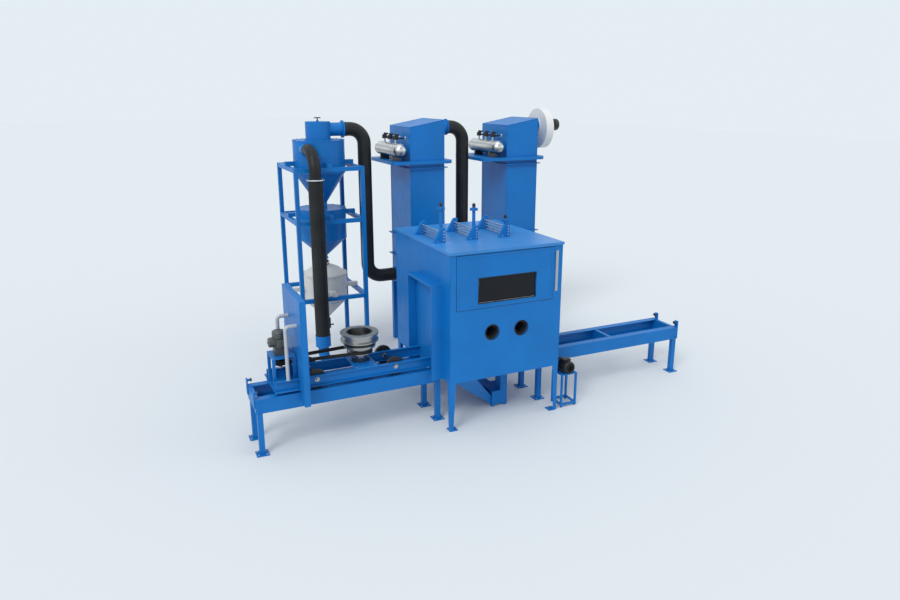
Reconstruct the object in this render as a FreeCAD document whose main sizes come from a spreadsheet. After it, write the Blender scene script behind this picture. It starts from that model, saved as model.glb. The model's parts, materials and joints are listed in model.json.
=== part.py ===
# Pass-through sandblasting cabinet plant: cabinet, rail cart, media tower and dust collectors.
# Millimetres. Origin on the floor under the middle of the cabinet, X along the rails, Z up.
import FreeCAD, Part
import math
import os
import re
import Sketcher
from FreeCAD import Placement, Rotation, Vector

doc = FreeCAD.newDocument("blasting_plant")
sheet = doc.addObject("Spreadsheet::Sheet", "Sizes")

SIZES = {
    # cabinet
    "cabinet_width": 1600,
    "cabinet_depth": 1820,
    "cabinet_bottom": 655,
    "cabinet_top": 2345,
    "wall": 30,
    "roof_plate": 35,
    "roof_overhang": 15,
    "floor_plate": 12,
    "window_width": 826,
    "window_height": 322,
    "window_bottom": 1666,
    "pane_thickness": 8,
    "pane_rebate": 14,
    "port_radius": 96,
    "port_spacing": 424,
    "port_height": 1266,
    "sleeve_wall": 6,
    "sleeve_length": 150,
    "sleeve_lip": 12,
    "cabinet_leg": 84,
    "cabinet_leg_toe": 46,
    "leg_wall": 8,
    "foot_plate": 150,
    "cabinet_foot_plate": 110,
    "foot_thickness": 12,
    "anchor_radius": 9,
    # doorways and hood
    "doorway_front": -665,
    "doorway_back": 75,
    "doorway_top": 1870,
    "hood_length": 155,
    # rails and tables
    "rail_front": -510,
    "rail_gauge": 450,
    "rail_width": 100,
    "rail_top": 720,
    "rail_depth": 180,
    "rail_plate": 8,
    "rail_joint": 5,
    "left_table_end": -3126,
    "right_table_end": 3249,
    "table_leg": 65,
    "table_leg_inset": 12,
    "table_leg_out": 12.5,
    "leg_pad": 10,
    "tie_section": 50,
    "stop_height": 90,
    "stop_plate": 16,
    "stop_width": 64,
    "stop_drop": 110,
    "buffer_radius": 16,
    "buffer_length": 34,
    # media chute, riser and return pipe
    "boot_left": 45,
    "boot_front": -460,
    "boot_width": 235,
    "boot_depth": 340,
    "boot_bottom": 25,
    "boot_height": 200,
    "chute_from_side": 50,
    "chute_from_front": 20,
    "chute_mouth": 300,
    "chute_end": 130,
    "chute_plate": 6,
    "chute_inset": 20,
    "riser_width": 105,
    "riser_depth": 150,
    "return_radius": 80,
    "return_height": 150,
    "return_bend": 220,
    "boot_foot": 40,
    "cup_height": 165,
    "cup_lip": 6,
    # back row: tower and dust collectors share one centre line
    "back_row": 2400,
    "tower_x": -1466,
    "tower_width": 1060,
    "tower_depth": 1160,
    "tower_top": 3134,
    "tower_middle": 2360,
    "tower_low": 1167,
    "tower_post": 60,
    "tower_foot": 120,
    "tank_plate": 6,
    "lug_height": 60,
    "lug_width": 70,
    "separator_radius": 390,
    "separator_top": 3506,
    "separator_bottom": 3020,
    "separator_outlet": 90,
    "cone_bottom": 2560,
    "lid_plate": 12,
    "lid_overhang": 4,
    "outlet_drum_radius": 188,
    "outlet_drum_height": 269,
    "outlet_duct_reach": 392,
    "duct_rise": 149,
    "gland_height": 18,
    "outlet_duct_radius": 101,
    "outlet_flange_radius": 132,
    "outlet_flange_plate": 22,
    "inlet_offset": 262,
    "inlet_height": 3385,
    "inlet_radius": 92,
    "inlet_face": -360,
    "storage_radius": 372,
    "storage_top": 2469,
    "storage_bottom": 2000,
    "storage_cone_bottom": 1716,
    "storage_outlet": 60,
    "outlet_stub": 40,
    "valve_radius": 46,
    "valve_length": 140,
    "valve_flange": 14,
    "pot_radius": 341,
    "pot_rim": 1410,
    "pot_bottom": 998,
    "pot_dome": 160,
    "pot_cone_bottom": 702,
    "pot_outlet": 50,
    "pot_flange": 22,
    "pot_stub": 60,
    "handhole_radius": 70,
    "handhole_rise": 26,
    "handwheel_radius": 52,
    "handwheel_rim": 7,
    "handwheel_lift": 55,
    "stem_radius": 9,
    # dust collectors
    "first_collector_x": 148,
    "second_collector_x": 1866,
    "collector_width": 581,
    "collector_depth": 878,
    "collector_low": 1200,
    "collector_eave": 3680,
    "collector_rise": 105,
    "collector_flange": 45,
    "collector_flange_plate": 12,
    "upper_flange_height": 3045,
    "middle_flange_height": 1900,
    "lower_flange_height": 1540,
    "dust_hopper_bottom": 450,
    "dust_hopper_outlet": 200,
    "hopper_gap": 5,
    "collector_leg": 80,
    "collector_leg_out": 20,
    "platform_height": 3115,
    "platform_plate": 50,
    "first_platform_left": 300,
    "second_platform_left": 470,
    "platform_right": 135,
    "platform_corner": 120,
    "platform_front": 80,
    "platform_back": 200,
    "air_tank_radius": 105,
    "air_tank_length": 1050,
    "air_tank_gap": 62,
    "air_tank_rise": 163,
    "air_tank_wall": 5,
    "saddle_width": 40,
    "saddle_reach": 260,
    "valve_spacing": 243,
    "valve_rise": 92,
    "valve_body": 38,
    "valve_stem": 12,
    "collar_length": 137,
    "outlet_collar_length": 232,
    "collar_height": 1280,
    "outlet_height": 3655,
    "collar_radius": 118,
    "collar_plate": 14,
    # fan
    "fan_collar_length": 248,
    "fan_collar_radius": 100,
    "fan_drop": 55,
    "fan_radius": 335,
    "fan_width": 140,
    "fan_outlet": 180,
    "fan_motor_radius": 88,
    "fan_motor_length": 270,
    # hoses
    "hose_radius": 105,
    "hose_bend": 230,
    "tower_hose_x": -740,
    "second_hose_x": 965,
    "supply_hose_y": 1670,
    "supply_hose_bottom": 640,
    "supply_hose_radius": 108,
    "supply_elbow_radius": 86,
    "supply_joint_height": 2980,
    "supply_ring_lip": 22,
    "supply_ring_plate": 12,
    # gun lifts
    "gun_first": -750,
    "gun_pitch": 470,
    "gun_front": -320,
    "gun_back": 300,
    "bracket_width": 160,
    "bracket_height": 185,
    "bracket_strip": 52,
    "bracket_plate": 50,
    "rod_radius": 10,
    "rod_lift": 24,
    "rod_pitch": 38,
    "rod_offset": 99,
    "gun_tube_radius": 22,
    "gun_tube_gap": 12,
    "gun_cap_radius": 45,
    "gun_cap_plate": 16,
    "gun_knob_radius": 22,
    "first_tube_height": 455,
    "second_tube_height": 415,
    "third_tube_height": 235,
    # drive stand by the cabinet
    "stand_gap": 90,
    "stand_inset": 20,
    "stand_bar_height": 30,
    "stand_motor_lift": 16,
    "stand_motor_foot": 30,
    "stand_width": 250,
    "stand_depth": 250,
    "stand_height": 480,
    "stand_plate": 12,
    "stand_leg": 26,
    "stand_motor_radius": 72,
    "stand_motor_length": 270,
    # cart
    "cart_left": -2890,
    "cart_right": -845,
    "cart_bottom": 768,
    "cart_top": 898,
    "cart_flange": 45,
    "cart_plate": 7,
    "wheel_radius": 120,
    "wheel_width": 45,
    "wheel_gap": 5,
    "left_axle": -2372,
    "right_axle": -1356,
    "axle_radius": 15,
    "nut_radius": 22,
    "nut_length": 16,
    "running_gap": 0.3,
    "deck_plate": 15,
    "deck_back": 160,
    "motor_table_height": 1150,
    "motor_table_length": 280,
    "motor_table_depth": 330,
    "motor_table_plate": 12,
    "motor_table_leg": 36,
    "closing_panel_left": -2590,
    "closing_panel": 70,
    "closing_panel_front": -710,
    "closing_panel_back": 210,
    "closing_panel_bottom": 610,
    "closing_panel_top": 1900,
    "notch_gap": 15,
    "belt_slot_gap": 16,
    "inner_panel": 30,
    "inner_panel_gap": 10,
    "inner_panel_lift": 15,
    "turntable_x": -1750,
    "turntable_plate": 15,
    "turntable_plate_length": 300,
    "bearing_radius": 105,
    "bearing_height": 47,
    "pin_rise": 50,
    "drive_x": -2755,
    "shaft_radius": 14,
    "pivot_radius": 25,
    "shaft_seat": 40,
    "gearbox": 136,
    "gearbox_height": 95,
    "side_cover": 50,
    "side_cover_radius": 60,
    "side_cover_height": 160,
    "drive_motor_radius": 72,
    "drive_motor_shoulder": 14,
    "drive_motor_height": 300,
    "belt_height": 1035,
    "belt_width": 44,
    "belt_side_gap": 2,
    "belt_thickness": 8,
    "table_pulley_radius": 150,
    "drive_pulley_radius": 72,
    "pulley_flange": 14,
    "pulley_flange_plate": 8,
    "drum_bottom": 1095,
    "drum_top": 1290,
    "drum_radius": 240,
    "drum_body": 214,
    "drum_neck": 186,
    "drum_foot": 200,
    "drum_foot_height": 38,
    "drum_waist_top": 1172,
    "drum_chamfer": 10,
    "drum_rim": 24,
    "bowl_radius": 150,
    "bowl_depth": 62,
    "bowl_hole": 14,
    "bowl_hole_depth": 30,
    "bowl_hole_circle": 52,
    "handle_radius": 23,
    "handle_x": -2722,
    "handle_top": 1560,
    "handle_bend": 45,
}


def fill_sheet():
    for row, (name, value) in enumerate(SIZES.items(), start=1):
        sheet.set(f"A{row}", name)
        sheet.set(f"B{row}", str(value))
        sheet.setAlias(f"B{row}", name)
    sheet.recompute()


def linked(text):
    # writes Sizes.name wherever a size is named
    def link(word):
        return "Sizes." + word.group() if word.group() in SIZES else word.group()
    return re.sub(r"[a-z_][a-z0-9_]*", link, str(text))


def number(text):
    # the value of an expression, worked out by the sheet in a spare cell
    sheet.set("D1", "=" + str(text))
    sheet.recompute()
    return float(sheet.get("D1"))


def bind(thing, **sizes):
    for name, text in sizes.items():
        thing.setExpression(name, linked(text))
    return thing


def place(thing, x=0, y=0, z=0, turn=None):
    if turn:
        thing.Placement = Placement(Vector(), turn)
    for axis, text in zip("xyz", (x, y, z)):
        thing.setExpression(f"Placement.Base.{axis}", linked(text))
    return thing


ALONG_X = Rotation(Vector(0, 1, 0), 90)
ALONG_Y = Rotation(Vector(1, 0, 0), -90)


def block(x, y, z, length, width, height):
    box = doc.addObject("Part::Box", "Block")
    bind(box, Length=length, Width=width, Height=height)
    return place(box, x, y, z)


def rod(x, y, z, radius, length, turn=None):
    cylinder = doc.addObject("Part::Cylinder", "Rod")
    bind(cylinder, Radius=radius, Height=length)
    return place(cylinder, x, y, z, turn)


def cone(x, y, z, low, high, length, turn=None):
    taper = doc.addObject("Part::Cone", "Taper")
    bind(taper, Radius1=low, Radius2=high, Height=length)
    return place(taper, x, y, z, turn)


def cut(base, *tools):
    for tool in tools:
        result = doc.addObject("Part::Cut", "Cut")
        result.Base = base
        result.Tool = tool
        base = result
    return base


def fuse(*pieces):
    joined = doc.addObject("Part::MultiFuse", "Weld")
    joined.Shapes = list(pieces)
    joined.Refine = True
    return joined


def group(*pieces):
    together = doc.addObject("Part::Compound", "Set")
    together.Links = list(pieces)
    return together


SUBPARTS = []


def subpart(label, thing):
    thing.Label = label
    SUBPARTS.append(thing)
    return thing


def new_body(name):
    return doc.addObject("PartDesign::Body", name)


def new_sketch(body, role):
    sketch = body.newObject("Sketcher::SketchObject", "Sketch")
    plane = [item for item in body.Origin.OriginFeatures if item.Role == role][0]
    sketch.AttachmentSupport = (plane, "")
    sketch.MapMode = "FlatFace"
    return sketch


def hold(sketch, geometry, end, x, y):
    # pins one point of a sketch at a place given by two expressions
    for kind, text in (("DistanceX", x), ("DistanceY", y)):
        index = sketch.addConstraint(Sketcher.Constraint(kind, -1, 1, geometry, end, number(text)))
        sketch.setExpression(f"Constraints[{index}]", linked(text))


def outline(sketch, points):
    # a closed outline of straight edges through corners given as expressions
    places = [Vector(number(x), number(y), 0) for x, y in points]
    first = sketch.GeometryCount
    count = len(points)
    for index in range(count):
        sketch.addGeometry(Part.LineSegment(places[index], places[(index + 1) % count]), False)
    for index in range(count):
        following = first + (index + 1) % count
        sketch.addConstraint(Sketcher.Constraint("Coincident", first + index, 2, following, 1))
    for index, (x, y) in enumerate(points):
        hold(sketch, first + index, 1, x, y)


def circle(sketch, x, y, radius):
    centre = Vector(number(x), number(y), 0)
    index = sketch.addGeometry(Part.Circle(centre, Vector(0, 0, 1), number(radius)), False)
    hold(sketch, index, 3, x, y)
    limit = sketch.addConstraint(Sketcher.Constraint("Radius", index, number(radius)))
    sketch.setExpression(f"Constraints[{limit}]", linked(radius))


def rectangle(left, low, right, high):
    return [(left, low), (right, low), (right, high), (left, high)]


def pad(body, sketch, length, reverse=False):
    feature = body.newObject("PartDesign::Pad", "Pad")
    feature.Profile = sketch
    feature.Reversed = reverse
    bind(feature, Length=length)
    return feature


def turned(name, points, x, y):
    # a body of revolution about a vertical axis, from a radius and height outline
    body = new_body(name)
    sketch = new_sketch(body, "XZ_Plane")
    outline(sketch, points)
    feature = body.newObject("PartDesign::Revolution", "Revolution")
    feature.Profile = sketch
    feature.ReferenceAxis = (sketch, ["V_Axis"])
    feature.Angle = 360
    place(body, x, y, 0)
    return body


def tube_run(name, points, bend, radius, inner=None):
    # a round duct along straight runs joined by tangent bends, from a list of places
    places = [Vector(*[number(text) for text in point]) for point in points]
    edges = []
    start = places[0]
    for before, corner, after in zip(places, places[1:], places[2:]):
        come = (corner - before).normalize()
        leave = (after - corner).normalize()
        reach = number(bend) * math.tan(come.getAngle(leave) / 2)
        arc_start = corner - come * reach
        arc_end = corner + leave * reach
        inward = (leave - come).normalize()
        middle_gap = number(bend) * (1 / math.cos(come.getAngle(leave) / 2) - 1)
        edges.append(Part.makeLine(start, arc_start))
        edges.append(Part.Arc(arc_start, corner + inward * middle_gap, arc_end).toShape())
        start = arc_end
    edges.append(Part.makeLine(start, places[-1]))
    path = Part.Wire(edges)
    heading = (places[1] - places[0]).normalize()

    def swept(size):
        ring = Part.Wire([Part.makeCircle(size, places[0], heading)])
        return path.makePipeShell([ring], True, False)

    shape = swept(number(radius))
    if inner:
        shape = shape.cut(swept(number(inner)))
    feature = doc.addObject("Part::Feature", name)
    feature.Shape = shape
    return feature


LEFT = "-cabinet_width / 2"
RIGHT = "cabinet_width / 2"
FRONT = "-cabinet_depth / 2"
BACK = "cabinet_depth / 2"
WALL_TOP = "cabinet_top - roof_plate"
WALL_TALL = "cabinet_top - roof_plate - cabinet_bottom"
FLOOR_TOP = "cabinet_bottom + floor_plate"
CHUTE_LEFT = f"({LEFT} + wall + chute_from_side)"
CHUTE_FRONT = f"({FRONT} + wall + chute_from_front)"
RAIL_BACK = "rail_front + rail_gauge"
RAIL_MIDDLE = "rail_front + (rail_gauge + rail_width) / 2"
TOWER_OUTLET = "separator_top + duct_rise"
FAN_AXIS = "outlet_height"
STAND_LEFT = f"({RIGHT} + stand_gap)"
STAND_FRONT = f"({FRONT} + stand_inset)"


def side_walls(side, x):
    # one end wall in three pieces: in front of, behind and over its doorway
    front_start = f"{FRONT} + wall"
    back_start = "doorway_back"
    front = block(x, front_start, "cabinet_bottom", "wall", f"doorway_front - ({front_start})", WALL_TALL)
    back = block(x, back_start, "cabinet_bottom", "wall", f"{BACK} - wall - doorway_back", WALL_TALL)
    over = block(x, "doorway_front", "doorway_top", "wall", "doorway_back - doorway_front",
                 f"{WALL_TOP} - doorway_top")
    subpart(f"cabinet_{side}_front", front)
    subpart(f"cabinet_{side}_back", back)
    subpart(f"cabinet_{side}_top", over)


def cabinet_walls():
    body = new_body("FrontWall")
    sketch = new_sketch(body, "XZ_Plane")
    outline(sketch, rectangle(LEFT, "cabinet_bottom", RIGHT, WALL_TOP))
    outline(sketch, rectangle("-window_width / 2", "window_bottom", "window_width / 2",
                              "window_bottom + window_height"))
    circle(sketch, "-port_spacing / 2", "port_height", "port_radius")
    circle(sketch, "port_spacing / 2", "port_height", "port_radius")
    pad(body, sketch, "wall", reverse=True)
    place(body, 0, FRONT, 0)
    subpart("cabinet_front", body)
    subpart("cabinet_back", block(LEFT, f"{BACK} - wall", "cabinet_bottom", "cabinet_width", "wall", WALL_TALL))
    side_walls("left", LEFT)
    side_walls("right", f"{RIGHT} - wall")
    subpart("cabinet_roof", block(f"{LEFT} - roof_overhang", f"{FRONT} - roof_overhang", WALL_TOP,
                                  "cabinet_width + 2 * roof_overhang", "cabinet_depth + 2 * roof_overhang",
                                  "roof_plate"))


def cabinet_floor():
    # the plate reaches out under both doorways and is open over the chute and the riser
    body = new_body("FloorPlate")
    sketch = new_sketch(body, "XY_Plane")
    left_in = f"{LEFT} + wall"
    right_in = f"{RIGHT} - wall"
    front_in = f"{FRONT} + wall"
    back_in = f"{BACK} - wall"
    outline(sketch, [
        (left_in, front_in), (right_in, front_in), (right_in, "doorway_front"), (RIGHT, "doorway_front"),
        (RIGHT, "doorway_back"), (right_in, "doorway_back"), (right_in, back_in), (left_in, back_in),
        (left_in, "doorway_back"), (LEFT, "doorway_back"), (LEFT, "doorway_front"), (left_in, "doorway_front"),
    ])
    outline(sketch, rectangle(f"{CHUTE_LEFT} + chute_plate", f"{CHUTE_FRONT} + chute_plate",
                              f"{CHUTE_LEFT} + chute_mouth - chute_plate",
                              f"{CHUTE_FRONT} + chute_mouth - chute_plate"))
    pad(body, sketch, "floor_plate")
    place(body, 0, 0, "cabinet_bottom")
    subpart("cabinet_floor", body)


def window_pane():
    subpart("window_pane", block("-window_width / 2", f"{FRONT} + pane_rebate", "window_bottom",
                                 "window_width", "pane_thickness", "window_height"))


def arm_sleeves():
    sleeves = []
    for side in (-1, 1):
        x = f"{side} * port_spacing / 2"
        inside = f"{FRONT} + wall"
        lip = rod(x, inside, "port_height", "port_radius + sleeve_lip", "sleeve_wall", ALONG_Y)
        skin = cone(x, inside, "port_height", "port_radius", "port_radius * 0.72", "sleeve_length", ALONG_Y)
        hollow = cone(x, inside, "port_height", "port_radius - sleeve_wall",
                      "port_radius * 0.72 - sleeve_wall", "sleeve_length", ALONG_Y)
        sleeves.append(cut(fuse(lip, skin), hollow))
    subpart("arm_sleeves", group(*sleeves))


def doorway_hood():
    body = new_body("Hood")
    sketch = new_sketch(body, "YZ_Plane")
    outline(sketch, [
        ("doorway_front - wall", "cabinet_bottom"), ("doorway_front", "cabinet_bottom"),
        ("doorway_front", "doorway_top"), ("doorway_back", "doorway_top"),
        ("doorway_back", "cabinet_bottom"), ("doorway_back + wall", "cabinet_bottom"),
        ("doorway_back + wall", "doorway_top + wall"), ("doorway_front - wall", "doorway_top + wall"),
    ])
    pad(body, sketch, "hood_length")
    place(body, f"{LEFT} - hood_length", 0, 0)
    subpart("doorway_hood", body)


def leg_face(role, across, along, flip):
    # one tapered face of a folded corner leg
    body = new_body("LegFace")
    sketch = new_sketch(body, role)
    outline(sketch, [
        (across, "foot_thickness"), (f"{across} + {flip} * cabinet_leg_toe", "foot_thickness"),
        (f"{across} + {flip} * cabinet_leg", "cabinet_bottom"), (across, "cabinet_bottom"),
    ])
    pad(body, sketch, "leg_wall", reverse=(role == "XZ_Plane"))
    place(body, along if role == "YZ_Plane" else 0, along if role == "XZ_Plane" else 0, 0)
    return body


def cabinet_legs():
    legs = []
    for x_side in (-1, 1):
        for y_side in (-1, 1):
            corner_x = f"{x_side} * cabinet_width / 2"
            corner_y = f"{y_side} * cabinet_depth / 2"
            face_y = corner_y if y_side < 0 else f"{corner_y} - leg_wall"
            face_x = corner_x if x_side < 0 else f"{corner_x} - leg_wall"
            front_face = leg_face("XZ_Plane", corner_x, face_y, -x_side)
            side_face = leg_face("YZ_Plane", corner_y, face_x, -y_side)
            centre_x = f"{x_side} * (cabinet_width - cabinet_foot_plate) / 2"
            centre_y = f"{y_side} * (cabinet_depth - cabinet_foot_plate) / 2"
            foot = block(f"{centre_x} - cabinet_foot_plate / 2", f"{centre_y} - cabinet_foot_plate / 2", 0,
                         "cabinet_foot_plate", "cabinet_foot_plate", "foot_thickness")
            hole = rod(centre_x, centre_y, 0, "anchor_radius", "foot_thickness")
            legs.append(fuse(front_face, side_face, cut(foot, hole)))
    subpart("cabinet_legs", group(*legs))


def channel(x, length, y_web, open_side, low, high, width, plate):
    # a rolled channel lying along X, its web at y_web and its flanges towards open_side
    body = new_body("Channel")
    sketch = new_sketch(body, "YZ_Plane")
    reach = f"{y_web} + {open_side} * ({width})"
    skin = f"{y_web} + {open_side} * ({plate})"
    outline(sketch, [
        (y_web, low), (reach, low), (reach, f"{low} + {plate}"), (skin, f"{low} + {plate}"),
        (skin, f"{high} - {plate}"), (reach, f"{high} - {plate}"), (reach, high), (y_web, high),
    ])
    pad(body, sketch, length)
    place(body, x, 0, 0)
    return body


TABLE_GAP = "cabinet_width / 2 + table_leg_out"
RAIL_LOW = "rail_top - rail_depth"


def rail_pair(x, length, low, high):
    front = channel(x, length, "rail_front", 1, low, high, "rail_width", "rail_plate")
    back = channel(x, length, f"{RAIL_BACK} + rail_width", -1, low, high, "rail_width", "rail_plate")
    return front, back


def rail_ties(*places):
    # cross pieces between the webs of the two rails
    return [block(x, "rail_front + rail_plate", f"{RAIL_LOW} + rail_plate", "tie_section",
                  "rail_gauge + rail_width - 2 * rail_plate", "rail_depth - 2 * rail_plate") for x in places]


def rail_tables():
    left_length = f"-({TABLE_GAP}) - left_table_end"
    right_length = f"right_table_end - ({TABLE_GAP})"
    left_ties = rail_ties("left_table_end", "left_table_end / 2 - cabinet_width / 4")
    right_ties = rail_ties("right_table_end - tie_section", "right_table_end / 2 + cabinet_width / 4")
    subpart("left_rails", fuse(*rail_pair("left_table_end", left_length, RAIL_LOW, "rail_top"), *left_ties))
    subpart("right_rails", fuse(*rail_pair(TABLE_GAP, right_length, RAIL_LOW, "rail_top"), *right_ties))
    joint = f"{TABLE_GAP} - rail_joint"
    subpart("inner_rails", group(*rail_pair(f"-({joint})", f"2 * ({joint})", FLOOR_TOP, "rail_top")))


def table_leg(x, y, top, pad_height):
    column = block(f"{x} - table_leg / 2", f"{y} - table_leg / 2", "foot_thickness", "table_leg", "table_leg",
                   f"{top} - foot_thickness - {pad_height}")
    foot = block(f"{x} - foot_plate / 2", f"{y} - foot_plate / 2", 0, "foot_plate", "foot_plate",
                 "foot_thickness")
    pieces = [column, foot]
    if pad_height != "0":
        pieces.append(block(f"{x} - table_leg / 2", f"{y} - table_leg / 2", f"{top} - {pad_height}",
                            "table_leg", "table_leg", pad_height))
    return fuse(*pieces)


def table_legs():
    rows = ("rail_front + table_leg_inset + table_leg / 2",
            f"{RAIL_BACK} + rail_width - table_leg_inset - table_leg / 2")
    inner = f"{TABLE_GAP} - table_leg / 2"
    inset = "table_leg_inset + table_leg / 2"
    legs = []
    for y in rows:
        legs += [table_leg(x, y, RAIL_LOW, "0") for x in (f"left_table_end + {inset}",
                                                         f"right_table_end - ({inset})")]
        legs += [table_leg(f"{sign} * ({inner})", y, "cabinet_bottom", "leg_pad") for sign in (-1, 1)]
    subpart("table_legs", group(*legs))


def rail_stops():
    stops = []
    for end, sign in (("left_table_end", 1), ("right_table_end", -1)):
        for y in ("rail_front", RAIL_BACK):
            x = f"{end} - stop_plate" if sign > 0 else end
            start = f"{y} + (rail_width - stop_width) / 2"
            plate = block(x, start, "rail_top - stop_drop", "stop_plate", "stop_width", "stop_drop + stop_height")
            tip = end if sign > 0 else f"{end} - buffer_length"
            buffer = rod(tip, f"{y} + rail_width / 2", "rail_top + stop_height - buffer_radius - 6",
                         "buffer_radius", "buffer_length", ALONG_X)
            stops.append(fuse(plate, buffer))
    subpart("rail_stops", group(*stops))


def chute_loft(inset):
    # a sloping duct from a mouth under the floor to the side of the boot
    body = new_body("Chute")
    mouth = new_sketch(body, "XY_Plane")
    mouth.AttachmentOffset = Placement(Vector(0, 0, 0), Rotation())
    bind(mouth, **{"AttachmentOffset.Base.z": "cabinet_bottom"})
    outline(mouth, rectangle(f"{CHUTE_LEFT} + {inset}", f"{CHUTE_FRONT} + {inset}",
                             f"{CHUTE_LEFT} + chute_mouth - {inset}", f"{CHUTE_FRONT} + chute_mouth - {inset}"))
    end = new_sketch(body, "YZ_Plane")
    bind(end, **{"AttachmentOffset.Base.z": "boot_left"})
    front = f"boot_front + chute_inset + {inset}"
    back = f"boot_front + chute_inset + chute_mouth - {inset}"
    low = f"boot_bottom + {inset}"
    high = f"boot_bottom + chute_end - {inset}"
    outline(end, [(front, low), (front, high), (back, high), (back, low)])
    loft = body.newObject("PartDesign::AdditiveLoft", "Loft")
    loft.Profile = mouth
    loft.Sections = [end]
    loft.Ruled = True
    return body


def media_chute():
    boot = block("boot_left", "boot_front", "boot_bottom", "boot_width", "boot_depth", "boot_height")
    riser = block("boot_left + boot_width - riser_width", "boot_front", "boot_bottom", "riser_width",
                  "riser_depth", "cabinet_bottom - boot_bottom")
    feet = [block(f"boot_left + {shift}", f"boot_front + {back}", 0, "boot_foot", "boot_foot", "boot_bottom")
            for shift in (0, "boot_width - boot_foot") for back in (0, "boot_depth - boot_foot")]
    chute = cut(chute_loft("0"), chute_loft("chute_plate"))
    subpart("media_chute", fuse(boot, riser, chute, *feet))


SUPPLY_X = "tower_x - inlet_offset"


def return_pipe():
    start_x = "boot_left + boot_width / 2"
    start_y = "boot_front + boot_depth"
    run = tube_run("ReturnPipe", [
        (start_x, start_y, "return_height"), (start_x, "supply_hose_y", "return_height"),
        (SUPPLY_X, "supply_hose_y", "return_height"), (SUPPLY_X, "supply_hose_y", "supply_hose_bottom"),
    ], "return_bend", "return_radius")
    cup = rod(SUPPLY_X, "supply_hose_y", "supply_hose_bottom - cup_height", "supply_hose_radius + cup_lip",
              "cup_height")
    ring = rod(SUPPLY_X, "supply_hose_y", "supply_hose_bottom - cup_height - collar_plate",
               "supply_hose_radius - cup_lip", "collar_plate")
    subpart("return_pipe", fuse(run, cup, ring))


POST_X = "tower_width / 2 - tower_post"
POST_Y = "tower_depth / 2 - tower_post"


def tower_frame():
    posts = []
    for x_side in (-1, 1):
        for y_side in (-1, 1):
            middle_x = f"tower_x + {x_side} * (tower_width - tower_post) / 2"
            middle_y = f"back_row + {y_side} * (tower_depth - tower_post) / 2"
            post = block(f"{middle_x} - tower_post / 2", f"{middle_y} - tower_post / 2", 0,
                         "tower_post", "tower_post", "tower_top")
            foot = block(f"{middle_x} - tower_foot / 2", f"{middle_y} - tower_foot / 2", 0,
                         "tower_foot", "tower_foot", "foot_thickness")
            posts.append(fuse(post, foot))
    subpart("tower_posts", group(*posts))
    bars = []
    for level in ("tower_top", "tower_middle", "tower_low"):
        z = f"{level} - tower_post"
        for y in ("back_row - tower_depth / 2", f"back_row + {POST_Y}"):
            bars.append(block(f"tower_x - ({POST_X})", y, z, f"2 * ({POST_X})", "tower_post", "tower_post"))
        for x in ("tower_x - tower_width / 2", f"tower_x + {POST_X}"):
            bars.append(block(x, f"back_row - ({POST_Y})", z, "tower_post", f"2 * ({POST_Y})", "tower_post"))
    subpart("tower_bars", group(*bars))


def lugs(radius, level):
    # four brackets that carry a round vessel on the bars of one level
    pieces = []
    for sign in (-1, 1):
        start = f"tower_x + {radius} - tank_plate / 2" if sign > 0 else "tower_x - tower_width / 2"
        pieces.append(block(start, "back_row - lug_width / 2", level,
                            f"tower_width / 2 - {radius} + tank_plate / 2", "lug_width", "lug_height"))
        start = f"back_row + {radius} - tank_plate / 2" if sign > 0 else "back_row - tower_depth / 2"
        pieces.append(block("tower_x - lug_width / 2", start, level, "lug_width",
                            f"tower_depth / 2 - {radius} + tank_plate / 2", "lug_height"))
    return pieces


def vessel(radius, top, bottom, outlet, cone_bottom, tip):
    # a plate shell: a cylinder, a cone under it and a short outlet tube
    return turned("Vessel", [
        (radius, top), (radius, bottom), (outlet, cone_bottom), (outlet, tip),
        (f"{outlet} - tank_plate", tip), (f"{outlet} - tank_plate", cone_bottom),
        (f"{radius} - tank_plate", bottom), (f"{radius} - tank_plate", top),
    ], "tower_x", "back_row")


def separator():
    shell = vessel("separator_radius", "separator_top - lid_plate", "separator_bottom", "separator_outlet",
                   "cone_bottom", "storage_top")
    stub = rod(SUPPLY_X, "back_row + inlet_face", "inlet_height", "inlet_radius", "-inlet_face", ALONG_Y)
    inside = rod("tower_x", "back_row", "separator_bottom", "separator_radius - tank_plate",
                 "separator_top - separator_bottom")
    bore = rod(SUPPLY_X, "back_row + inlet_face", "inlet_height", "inlet_radius - tank_plate", "-inlet_face",
               ALONG_Y)
    body = fuse(shell, cut(stub, inside), *lugs("separator_radius", "tower_top"))
    subpart("separator_shell", cut(body, bore))
    lid = rod("tower_x", "back_row", "separator_top - lid_plate", "separator_radius + lid_overhang", "lid_plate")
    drum = rod("tower_x", "back_row", "separator_top", "outlet_drum_radius", "outlet_drum_height")
    duct = rod("tower_x", "back_row", TOWER_OUTLET, "outlet_duct_radius", "outlet_duct_reach", ALONG_X)
    flange = rod("tower_x + outlet_duct_reach - outlet_flange_plate", "back_row", TOWER_OUTLET,
                 "outlet_flange_radius", "outlet_flange_plate", ALONG_X)
    gland_low = "separator_top + outlet_drum_height"
    gland = rod("tower_x", "back_row", gland_low, "2 * stem_radius", "gland_height")
    bore = rod("tower_x", "back_row", gland_low, "stem_radius + running_gap", "gland_height")
    subpart("separator_top", cut(fuse(lid, drum, duct, flange, gland), bore))


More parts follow.
